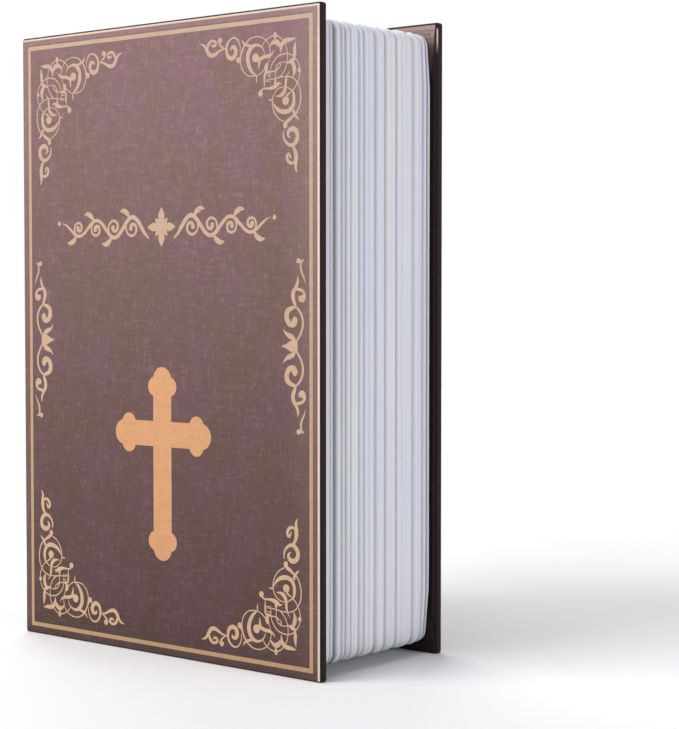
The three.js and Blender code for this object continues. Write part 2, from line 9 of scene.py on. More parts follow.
import bmesh
import bpy
import numpy as np
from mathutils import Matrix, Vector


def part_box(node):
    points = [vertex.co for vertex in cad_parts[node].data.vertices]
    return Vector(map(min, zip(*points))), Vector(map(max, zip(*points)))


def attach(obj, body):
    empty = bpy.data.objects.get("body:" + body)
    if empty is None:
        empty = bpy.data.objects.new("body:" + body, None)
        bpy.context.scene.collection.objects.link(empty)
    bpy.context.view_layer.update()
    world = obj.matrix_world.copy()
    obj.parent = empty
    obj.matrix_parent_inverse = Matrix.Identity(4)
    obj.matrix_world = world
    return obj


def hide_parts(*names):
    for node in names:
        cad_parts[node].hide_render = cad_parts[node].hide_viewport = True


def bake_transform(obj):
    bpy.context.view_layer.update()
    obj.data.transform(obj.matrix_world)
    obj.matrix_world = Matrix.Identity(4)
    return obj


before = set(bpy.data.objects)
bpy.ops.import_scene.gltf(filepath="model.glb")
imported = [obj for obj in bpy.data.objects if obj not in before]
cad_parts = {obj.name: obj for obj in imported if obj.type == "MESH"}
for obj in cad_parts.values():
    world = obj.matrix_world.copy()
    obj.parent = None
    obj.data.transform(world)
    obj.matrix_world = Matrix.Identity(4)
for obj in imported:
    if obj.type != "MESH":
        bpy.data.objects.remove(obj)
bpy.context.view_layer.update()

MM = 0.001

# The camera stands to the right of the book, a little above its middle. Its place, turn and lens come from
# one fit to the book's corners in the photograph.
camera_place = (0.37595, -0.40173, 0.10549)
camera_turn = math.radians(39.643)
camera_dip = math.radians(2.412)
camera_lens = 92.02
camera_sensor = 36
camera_data = bpy.data.cameras.new("camera")
camera_data.lens = camera_lens
camera_data.sensor_width = camera_sensor
camera_data.clip_start = 0.01
camera_data.clip_end = 50
camera = bpy.data.objects.new("camera", camera_data)
camera.location = camera_place
camera.rotation_euler = (math.pi / 2 - camera_dip, 0, camera_turn)
bpy.context.scene.collection.objects.link(camera)
bpy.context.scene.camera = camera


# The greyboards are the stiff sheets of both covers and the spine, cut from pressed waste-paper pulp. The
# wrap is glued round them, so only their cut edges beside the spine can be seen.
def ink(red, green, blue):
    """A colour in screen values from 0 to 255, as the shader's linear red, green, blue and 1."""
    values = np.array([red, green, blue]) / 255
    linear = np.where(values <= 0.04045, values / 12.92, ((values + 0.055) / 1.055) ** 2.4)
    return (*linear.tolist(), 1.0)


class Shade:
    """One output of a material's nodes. Arithmetic on it adds Math nodes."""

    def __init__(self, tree, socket):
        self.tree = tree
        self.socket = socket

    def node(self, kind, settings=None, inputs=None, result=0):
        """Add a node, set its settings, set or link its sockets, and give one of its outputs."""
        made = self.tree.nodes.new(kind)
        for name, value in (settings or {}).items():
            if name == "stops":
                for _ in range(len(value) - len(made.color_ramp.elements)):
                    made.color_ramp.elements.new(0.5)
                for stop, (place, colour) in zip(made.color_ramp.elements, value):
                    stop.position = place
                    stop.color = colour
            else:
                setattr(made, name, value)
        shown = [socket for socket in made.inputs if socket.enabled]
        for name, value in (inputs or {}).items():
            by_name = [socket for socket in shown if socket.name == name]
            socket = shown[name] if isinstance(name, int) else by_name[0]
            if isinstance(value, Shade):
                self.tree.links.new(value.socket, socket)
            else:
                socket.default_value = value
        outputs = [socket for socket in made.outputs if socket.enabled]
        return Shade(self.tree, outputs[result])

    def maths(self, operation, *values):
        return self.node("ShaderNodeMath", {"operation": operation}, dict(enumerate(values)))

    def __add__(self, other):
        return self.maths("ADD", self, other)

    def __sub__(self, other):
        return self.maths("SUBTRACT", self, other)

    def __rsub__(self, other):
        return self.maths("SUBTRACT", other, self)

    def __mul__(self, other):
        return self.maths("MULTIPLY", self, other)

    def __pow__(self, other):
        return self.maths("POWER", self, other)

    def __abs__(self):
        return self.maths("ABSOLUTE", self)

    __radd__ = __add__
    __rmul__ = __mul__

    def sine(self):
        return self.maths("SINE", self)

    def least(self, other):
        return self.maths("MINIMUM", self, other)

    def rise(self, start, end):
        """Nought before start and one after end, with a smooth rise between."""
        sockets = {"Value": self, "From Min": start, "From Max": end}
        return self.node("ShaderNodeMapRange", {"interpolation_type": "SMOOTHSTEP"}, sockets)

    def fall(self, start, end):
        """One before start and nought after end, with a smooth fall between."""
        return 1 - self.rise(start, end)

    def between(self, low, high):
        """The colour low where this value is nought, and the colour high where it is one."""
        return self.node("ShaderNodeMix", {"data_type": "RGBA"}, {"Factor": self, "A": low, "B": high})


class Finish:
    """A material under way: its shader, and the place on the piece in millimetres as x, y and z."""

    def __init__(self, name, **fixed):
        self.material = bpy.data.materials.new(name)
        self.material.use_nodes = True
        self.tree = self.material.node_tree
        self.surface = self.tree.nodes["Principled BSDF"]
        for socket, value in fixed.items():
            self.surface.inputs[socket.replace("_", " ")].default_value = value
        object_output = 3
        metres = Shade(self.tree, None).node("ShaderNodeTexCoord", result=object_output)
        scaled = {"operation": "SCALE"}
        self.place = metres.node("ShaderNodeVectorMath", scaled, {"Vector": metres, "Scale": 1 / MM})
        parts = [self.place.node("ShaderNodeSeparateXYZ", {}, {0: self.place}, i) for i in range(3)]
        self.x, self.y, self.z = parts

    def point(self, x, y, z):
        """A point made of three values."""
        return self.place.node("ShaderNodeCombineXYZ", {}, {0: x, 1: y, 2: z})

    def noise(self, where, scale=1.0, detail=2.0, roughness=0.5):
        """Cloudy noise from nought to one, with scale clouds in each unit of a point. Where is that point,
        or three numbers to multiply the place by, which squeeze the clouds along X, Y and Z."""
        if isinstance(where, tuple):
            by = {"operation": "MULTIPLY"}
            where = self.place.node("ShaderNodeVectorMath", by, {0: self.place, 1: where})
        sockets = {"Vector": where, "Scale": scale, "Detail": detail, "Roughness": roughness}
        return self.place.node("ShaderNodeTexNoise", {}, sockets)

    def feed(self, **links):
        """Link sockets of the shader, named with _ for each space, to values."""
        for socket, value in links.items():
            self.tree.links.new(value.socket, self.surface.inputs[socket.replace("_", " ")])
        return self

    def bump(self, height, depth):
        """Raise the surface by height times depth, with depth in millimetres."""
        sockets = {"Strength": 1.0, "Distance": depth * MM, "Height": height}
        return self.feed(Normal=self.place.node("ShaderNodeBump", {}, sockets))


def greyboard():
    """Raw board: grey brown, with long and short fibres and darker specks."""
    finish = Finish("greyboard", Roughness=0.9)
    fibres = finish.noise((0.4, 3, 0.9), 1.6, 5, 0.7)
    specks = finish.noise(finish.place, 3.1, 2).rise(0.62, 0.72)
    pulp = fibres.rise(0.3, 0.7).between(ink(128, 116, 100), ink(168, 156, 138))
    finish.feed(Base_Color=(specks * 0.5).between(pulp, ink(88, 78, 68)))
    return finish.bump(fibres, 0.08).material


def coat(finish, *nodes):
    """Give CAD nodes one finish."""
    for node in nodes:
        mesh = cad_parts[node].data
        mesh.materials.clear()
        mesh.materials.append(finish)


coat(greyboard(), "front_cover_board", "spine_board", "back_cover_board")


# The covers' wrap is one printed sheet with a linen grain, glued round the boards and turned in on the
# inside. Each cover's part of it is a skin with round edges and a small round at the fore-edge corners.
sheet_thickness = 0.26
cover_right = 59.0
cover_height = 180.0
cover_face = 26.97
back_face = 27.0
cover_inside = 24.4
cover_spine_edge = -58.3
turn_in = 12.0
mitre_insets = (turn_in, 8.0, 4.0, 1.5)
mitre_depth = 0.12
outer_round = 0.75
inner_round = 0.5
corner_round = 0.75
fold_round = 0.25
round_steps = 7
quarter = np.linspace(0, math.pi / 2, round_steps)
sine = np.sin(quarter)
cosine = np.cos(quarter)


def mesh_piece(name, shape, finish, body=None, stands_for=None, sharp=35):
    """Make a piece of points in millimetres and faces, smooth but for edges that turn by more than sharp
    degrees. It rides on a body, if one is named, and may stand for a CAD node."""
    points, faces = shape
    mesh = bpy.data.meshes.new(name)
    mesh.from_pydata((np.asarray(points) * MM).tolist(), [], [list(face) for face in faces])
    mesh.shade_smooth()
    mesh.set_sharp_from_angle(angle=math.radians(sharp))
    mesh.materials.append(finish)
    piece = bpy.data.objects.new(name, mesh)
    bpy.context.scene.collection.objects.link(piece)
    if body:
        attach(piece, body)
    if stands_for:
        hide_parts(stands_for)
    return piece


def grid_faces(rows, columns, ring_rows=False, ring_columns=False):
    """Quads between points in rows and columns, numbered row by row. A ring joins its last to its first."""
    row = np.arange(rows if ring_rows else rows - 1)
    column = np.arange(columns if ring_columns else columns - 1)
    i, j = (part.ravel() for part in np.meshgrid(row, column, indexing="ij"))
    next_i = (i + 1) % rows
    next_j = (j + 1) % columns
    corners = [i * columns + j, next_i * columns + j, next_i * columns + next_j, i * columns + next_j]
    return np.stack(corners, axis=1)


def outward(points, faces):
    """Turn a closed surface of quads the right way out, by the sign of the volume under its faces."""
    a, b, c, d = (points[faces[:, k]] for k in range(4))
    volume = np.sum(a * np.cross(b, c)) + np.sum(a * np.cross(c, d))
    return faces if volume > 0 else faces[:, ::-1]


def shell(points, faces, thickness):
    """Close an open sheet of quads: a copy lies a thickness behind it, along the mean of the unit normals
    of the faces round each point, and a rim of quads joins the two along every open edge."""
    diagonals = points[faces[:, 2]] - points[faces[:, 0]], points[faces[:, 3]] - points[faces[:, 1]]
    normals = np.cross(*diagonals)
    normals /= np.linalg.norm(normals, axis=1, keepdims=True)
    mean = np.zeros_like(points)
    for k in range(4):
        np.add.at(mean, faces[:, k], normals)
    mean /= np.linalg.norm(mean, axis=1, keepdims=True)
    count = len(points)
    edges = np.concatenate([faces[:, [k, (k + 1) % 4]] for k in range(4)])
    low, high = edges.min(axis=1), edges.max(axis=1)
    _, first, uses = np.unique(low * count + high, return_index=True, return_counts=True)
    start, end = edges[first[uses == 1]].T
    rim = np.stack([end, start, start + count, end + count], axis=1)
    both = np.concatenate([points, points - thickness * mean])
    return both, np.concatenate([faces, faces[:, ::-1] + count, rim])


def edge_line(inset):
    """The line along a cover's tail, round its fore-edge corners and back along its head, inset from its
    outline: straight legs, and quarter circles whose radius shrinks with the inset."""
    radius = max(corner_round - inset, fold_round)
    centre_x = cover_right - inset - radius
    tail_z = inset + radius * (1 - cosine)
    head_z = cover_height - inset - radius * (1 - sine)
    x = [cover_spine_edge, *(centre_x + radius * sine), *(centre_x + radius * cosine), cover_spine_edge]
    return np.array([x, [inset, *tail_z, *head_z, cover_height - inset]]).T


def at_depth(line, y):
    """A line of x and z, set at one Y or at a Y for each of its points."""
    return np.column_stack([line[:, 0], np.broadcast_to(y, len(line)), line[:, 1]])


def cover_skin(face_y, inside_y):
    """The skin of a cover: the edge line is carried from the turned-in edge on the inside, round the edge
    of the board and on to the outside, and rungs between its two legs fill the outside. The mitre of the
    turned-in corners is a shallow crease along their diagonal."""
    way = np.sign(inside_y - face_y)
    mitred = [(inset, inside_y) for inset in mitre_insets]
    inner = zip(inner_round * (1 - sine), inside_y - way * inner_round * (1 - cosine))
    outer = zip(outer_round * (1 - cosine), face_y + way * outer_round * (1 - sine))
    rows = []
    for number, (inset, y) in enumerate([*mitred, *inner, *outer, (turn_in, face_y)]):
        line = edge_line(inset)
        depth = np.full(len(line), float(y))
        if number < len(mitred):
            middles = [1 + round_steps // 2, len(line) - 2 - round_steps // 2]
            depth[middles] -= way * mitre_depth
        rows.append(at_depth(line, depth))
    across = len(rows[0])
    last = (len(rows) - 1) * across
    k = np.arange(across // 2 - 1)
    rungs = np.stack([last + k, last + across - 1 - k, last + across - 2 - k, last + k + 1], axis=1)
    faces = np.concatenate([grid_faces(len(rows), across), rungs])
    return shell(np.concatenate(rows), faces if way < 0 else faces[:, ::-1], sheet_thickness)


def threads(finish):
    """A plain weave of fine threads with thicker slubs in both directions, printed and pressed into the
    sheet: the height of the threads, and two noises drawn out along the weft and along the warp."""
    pitch = 0.62
    wander = 1.5
    close = 1.5
    drawn_out = 0.32
    across = finish.x + finish.y
    along = finish.z + finish.noise(finish.place, 0.09, 1) * wander
    deep = finish.y * 0.02
    weft_slub = finish.noise(finish.point(across * drawn_out, along * close, deep), 1.0, 3, 0.62)
    warp_slub = finish.noise(finish.point(across * close, along * drawn_out, deep), 1.0, 3, 0.62)
    warp = (across * (2 * math.pi / pitch)).sine()
    weft = (along * (2 * math.pi / pitch)).sine()
    over = (across * (math.pi / pitch)).sine() * (along * (math.pi / pitch)).sine()
    height = warp * (0.5 + 0.5 * over) + weft * (0.5 - 0.5 * over)
    return height, weft_slub, warp_slub


def linen_ground(finish, height, slubs):
    """Mauve and brown printed mottling under darker and paler threads. The mottling and the paler threads
    grow darker towards the tail."""
    clouds = finish.noise((1.2, 1, 0.9), 0.05, 2, 0.5)
    patches = finish.noise(finish.place, 0.17, 1, 0.5)
    rise = finish.z.rise(-30, 225)
    brown = rise.between(ink(83, 63, 58), ink(145, 116, 108))
    mauve = rise.between(ink(88, 65, 67), ink(148, 115, 121))
    ground = (clouds + 0.6 * patches).rise(0.6, 1.0).between(brown, mauve)
    streaks = slubs.rise(0.5, 1.1)
    woven = (streaks * 0.2 + 0.03 * height).between(ground, ink(50, 38, 38))
    paleness = 0.065 + 0.035 * finish.z.rise(30, 140)
    return ((1 - streaks).rise(0.6, 1.0) * paleness).between(woven, ink(196, 173, 164))


def print_with_wear_and_highlights(finish, ground):
    """Paler marks on the ground. The margin outside the printed frame is painted paler as a haze of light,
    most of all towards the head, and the upper right is rubbed paler by wear. Painted highlights run along
    the head and, brighter, along the fore-edge."""
    below_head = cover_height - finish.z
    outline = (cover_right - abs(finish.x)).least(finish.z.least(below_head))
    # Painted haze of light: the margin outside the frame is paler, most of all towards the head.
    margin = outline.fall(2.1, 2.6) * finish.z.rise(1, 5)
    up_right = finish.x.rise(44, 58) * (0.03 + 0.07 * finish.z.rise(20, 160))
    wear_and_haze_mask = margin * (0.05 + 0.04 * finish.z.rise(90, 175)) + up_right
    wear_and_haze = wear_and_haze_mask.between(ground, ink(226, 200, 178))
    # Painted highlights along the rounded head and, brighter, along the fore-edge.
    head_highlight = below_head.fall(0.95, 1.2) * 0.7
    side_highlight = finish.x.rise(57.8, 58.15) * (0.85 + 0.1 * finish.z.rise(0, cover_height))
    side_highlight = side_highlight * (1 - finish.z.rise(163, 177) * 0.3)
    return (head_highlight * (1 - side_highlight) + side_highlight).between(wear_and_haze, ink(250, 228, 208))


def turned_sheet(finish):
    """The sheet turned over the boards' edges, nearly black. Inside the back cover, painted contact shade
    darkens it beside the block. Near the head it is painted paler as light from above, with painted shade
    in two creases and along a slanted fold line, and a painted highlight streak on the rounded fore-edge."""
    inside_back = finish.y.rise(23, 24)
    slanted = finish.x + (cover_height - finish.z) * 0.12
    # Painted contact shade on the inside of the back cover, beside the page block.
    painted_contact_shade = finish.x.fall(57.2, 57.7) * finish.z.fall(163, 169) * finish.z.rise(8, 15)
    edge = finish.x.rise(58.3, 58.6).between(ink(50, 39, 38), ink(32, 20, 18))
    edge = (painted_contact_shade * inside_back * 0.9).between(edge, ink(7, 5, 11))
    # Painted light near the head, less in two creases, where painted shade falls.
    painted_head_light = finish.z.rise(172.3, 178.5) * 0.64 + finish.z.rise(163, 174) * 0.14
    crease_shade = abs(finish.z - 177.8).fall(0.2, 0.6) * 0.22 + abs(finish.z - 175.6).fall(0.1, 0.5) * 0.13
    painted_head_light = (painted_head_light - crease_shade) * finish.z.fall(179.2, 179.5) * slanted.fall(58.3, 58.6)
    turned = (painted_head_light * inside_back).between(edge, ink(198, 166, 160))
    # Painted shade along the slanted fold line.
    fold_line_shade = abs(slanted - 58.55).fall(0.1, 0.28) * finish.z.rise(175, 176) * inside_back
    turned = (fold_line_shade * 0.9).between(turned, ink(26, 16, 16))
    # A painted highlight streak on the rounded fore-edge near the head.
    highlight_streak = finish.x.rise(58.45, 58.7) * finish.y.fall(24.5, 24.75) * inside_back
    highlight_streak = highlight_streak * finish.z.rise(170.5, 176) * finish.z.fall(177.6, 178.8)
    return (highlight_streak * 0.75).between(turned, ink(240, 220, 212))


def printed_linen():
    """The print outside and the turned sheet over the edges and inside, with one weave. The print carries
    painted highlights, and the turned sheet carries painted shade and highlights.
    """
    finish = Finish("printed_linen", Specular_IOR_Level=0.12)
    height, weft_slub, warp_slub = threads(finish)
    face = print_with_wear_and_highlights(finish, linen_ground(finish, height, 0.8 * weft_slub + 0.8 * warp_slub))
    over = (finish.x + cover_right).least(back_face - abs(finish.y)).rise(0.07, 0.17)
    over_head = (cover_height - finish.z).fall(0.5, 0.62)
    over = over + over_head * (1 - over)
    finish.feed(Base_Color=over.between(face, turned_sheet(finish)), Roughness=0.5 + 0.2 * weft_slub)
    return finish.bump(height * 0.6 + 1.6 * weft_slub + 1.2 * warp_slub, 0.03).material


linen = printed_linen()
front_shape = cover_skin(-cover_face, -cover_inside)
mesh_piece("printed_front_cover", front_shape, linen, "front_cover", "front_cover_wrap")
back_shape = cover_skin(back_face, cover_inside)
mesh_piece("printed_back_cover", back_shape, linen, "book_case", "back_cover_wrap")

# At each fore-edge corner the sheet folded over the head or the tail lies on top of the other fold
fold_thickness = 0.24
fold_ease = 0.05
fold_outline = np.array([
    (44.0, 0.5), (44.0, 2.9), (56.9, 2.9), (56.9, 11.6),
    (57.2, 11.4), (57.7, 5.6), (58.2, 3.2), (58.62, 0.6),
])


def prism(outline, low, high, ease=0.0):
    """A flat piece inside an outline of x and z, from one Y to another. Ease pulls the second face in."""
    count = len(outline)
    inward = outline.mean(axis=0) - outline
    shrunk = outline + ease * inward / np.linalg.norm(inward, axis=1, keepdims=True)
    points = np.concatenate([at_depth(outline, low), at_depth(shrunk, high)])
    k = np.arange(count)
    after = (k + 1) % count
    walls = np.stack([k, after, after + count, k + count], axis=1).tolist()
    faces = [k[::-1].tolist(), (k + count).tolist(), *walls]
    x, z = outline.T
    anticlockwise = np.sum(x * np.roll(z, -1) - np.roll(x, -1) * z) > 0
    turned_over = anticlockwise == (high > low)
    return points, [face[::-1] for face in faces] if turned_over else faces


for body, inside_y, way in (("front_cover", -cover_inside, 1), ("book_case", cover_inside, -1)):
    for end in ("head", "tail"):
        outline = fold_outline if end == "tail" else fold_outline * [1, -1] + [0, cover_height]
        sheet = prism(outline, inside_y, inside_y + way * fold_thickness, fold_ease)
        mesh_piece(f"{body}_{end}_fold", sheet, linen, body)


# The spine's part of the wrap is glued over the spine board and turned in at the head and the tail. Beside
# it a strip of the same sheet bends round to each cover, and the front one is the hinge of the book.
spine_left = -59.0
spine_right = -56.4
spine_front = -24.0
spine_back = 24.4
spine_round = 0.7
hinge_round = 0.67
smallest_bend = 0.08


def spine_skin():
    """A C-shaped line in X and Z, from the turned-in edge at the tail, under the board, up the outside and
    over to the turned-in edge at the head, carried along Y."""
    tail_in = zip(spine_right - spine_round * (1 - cosine), spine_round * (1 - sine))
    tail_out = zip(spine_left + spine_round * (1 - sine), spine_round * (1 - cosine))
    lower = np.array([(spine_right, turn_in), *tail_in, *tail_out])
    line = np.concatenate([lower, lower[::-1] * [1, -1] + [0, cover_height]])
    rows = [at_depth(line, y) for y in (spine_front, spine_back)]
    return shell(np.concatenate(rows), grid_faces(len(rows), len(line))[:, ::-1], sheet_thickness)


def corner_strip(side, start_y, face_y):
    """A strip in X and Y that leaves the spine at start_y and bends round the long edge to the cover's
    face, carried along Z. Near its ends it curves inwards, as the sheet does over the boards."""
    bend = zip(spine_left + hinge_round * (1 - cosine), face_y - side * hinge_round * (1 - sine))
    line = np.array([(spine_left, start_y), *bend, (cover_spine_edge, face_y)])
    inward = np.array([(1, 0), *zip(cosine, -side * sine), (0, -side)])
    ends = spine_round * (1 - cosine)
    drops = np.minimum(spine_round * (1 - sine), hinge_round - smallest_bend)
    heights = [*ends, *(cover_height - ends[::-1])]
    insets = [*drops, *drops[::-1]]
    rows = []
    for height, inset in zip(heights, insets):
        rows.append(np.column_stack([line + inset * inward, np.full(len(line), height)]))
    faces = grid_faces(len(rows), len(line))
    return shell(np.concatenate(rows), faces if side > 0 else faces[:, ::-1], sheet_thickness)


mesh_piece("printed_spine", spine_skin(), linen, "book_case", "spine_wrap")
back_strip = corner_strip(1, spine_back, back_face)
mesh_piece("back_joint_strip", back_strip, linen, "book_case")
front_strip = corner_strip(-1, spine_front, -cover_face)
hinge_strip = mesh_piece("front_hinge_strip", front_strip, linen)
middle_z = cover_height / 2 * MM
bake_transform(hinge_strip)


# The front cover's print is a flat gold-coloured ink: a frame, scrollwork in the corners and at both
# sides, a plain cross with budded ends, and a leafy band across the upper half. Each line is a thin layer.
print_foot = 26.965
print_top = 26.98
print_step = 0.0003
print_steps = 60
thinnest_line = 0.1
shortest_way = 1e-9
curve_steps = 7
bead_steps = 20


def spline(knots):
    """A smooth curve through rows of numbers: each span is the Catmull-Rom cubic of its four knots."""
    knots = np.array(knots, float)
    ends = np.vstack([2 * knots[0] - knots[1], knots, 2 * knots[-1] - knots[-2]])
    t = np.linspace(0, 1, curve_steps, endpoint=False)[None, :, None]
    a, b, c, d = (ends[k:len(ends) - 3 + k, None] for k in range(4))
    squared = 2 * a - 5 * b + 4 * c - d
    cubed = 3 * b - a - 3 * c + d
    spans = 0.5 * (2 * b + (c - a) * t + squared * t**2 + cubed * t**3)
    return np.vstack([spans.reshape(-1, knots.shape[1]), knots[-1:]])


class Print:
    """The layers of one piece of print. Each closed layer lies a hair higher than the one before."""

    def __init__(self):
        self.points = []
        self.faces = []

    def depth(self):
        """The Y of the next layer's foot and of its top."""
        return -print_foot, -(print_top + print_step * (len(self.faces) % print_steps))

    def add(self, points, faces):
        """Keep one more layer, with its faces numbered on from the layers before."""
        start = sum(len(block) for block in self.points)
        self.points.append(points)
        self.faces.append([[start + index for index in face] for face in faces])

    def band(self, left, right, ring=False):
        """A band between two lines of x and z, left and right of its way."""
        foot, top = self.depth()
        sides = [(right, foot), (right, top), (left, top), (left, foot)]
        points = np.stack([at_depth(line, y) for line, y in sides], axis=1).reshape(-1, 3)
        faces = grid_faces(len(left), len(sides), ring, True).tolist()
        if not ring:
            end = len(points)
            faces += [[0, 1, 2, 3], [end - 1, end - 2, end - 3, end - 4]]
        self.add(points, faces)

    def line(self, knots):
        """A line through knots of x, z and width."""
        curve = spline(knots)
        way = np.gradient(curve[:, :2], axis=0)
        way /= np.maximum(np.linalg.norm(way, axis=1, keepdims=True), shortest_way)
        half = np.maximum(curve[:, 2:], thinnest_line) / 2
        side = np.stack([-way[:, 1], way[:, 0]], axis=1) * half
        self.band(curve[:, :2] + side, curve[:, :2] - side)

    def patch(self, outline):
        """A flat patch inside an outline of x and z."""
        self.add(*prism(outline, *self.depth()))

    def bead(self, x, z, radius):
        """A round patch about x and z."""
        angle = np.linspace(0, 2 * math.pi, bead_steps, endpoint=False)
        self.patch(np.column_stack([x + radius * np.cos(angle), z + radius * np.sin(angle)]))

    def frame(self, left, right, low, high, width):
        """A rectangular frame of one width, inside the given edges."""
        outer = np.array([(left, low), (right, low), (right, high), (left, high)], float)
        inner = outer + width * np.array([(1, 1), (-1, 1), (-1, -1), (1, -1)])
        self.band(inner, outer, ring=True)

    def piece(self, name, finish):
        """Make all the layers one piece on the front cover."""
        faces = [face for layer in self.faces for face in layer]
        mesh_piece(name, (np.concatenate(self.points), faces), finish, "front_cover")


def gold_ink(name, low, high):
    """Gold-coloured ink, deeper towards the tail, over the same pressed threads as the ground."""
    finish = Finish(name, Roughness=0.5, Specular_IOR_Level=0.45)
    height, weft_slub, warp_slub = threads(finish)
    blotches = finish.noise(finish.place, 0.25, 3, 0.6)
    wear_and_haze = (weft_slub * 0.8 + warp_slub * 0.5 + blotches * 0.4).rise(0.62, 1.2)
    colour = finish.z.rise(-20, 200).between(low, high)
    finish.feed(Base_Color=(wear_and_haze * 0.3).between(colour, ink(150, 112, 84)))
    return finish.bump(height * 0.5 + 1.2 * weft_slub + warp_slub, 0.03).material


# The frame, a band of one width a little inside the cover's edges
ink_of_frame = gold_ink("frame_ink", ink(187, 150, 108), ink(196, 166, 143))
ink_of_scrolls = gold_ink("gold_ink", ink(210, 174, 135), ink(198, 168, 146))
frames = Print()
frames.frame(left=-56.3, right=56.3, low=2.3, high=177.2, width=1.2)
frames.piece("printed_frame", ink_of_frame)

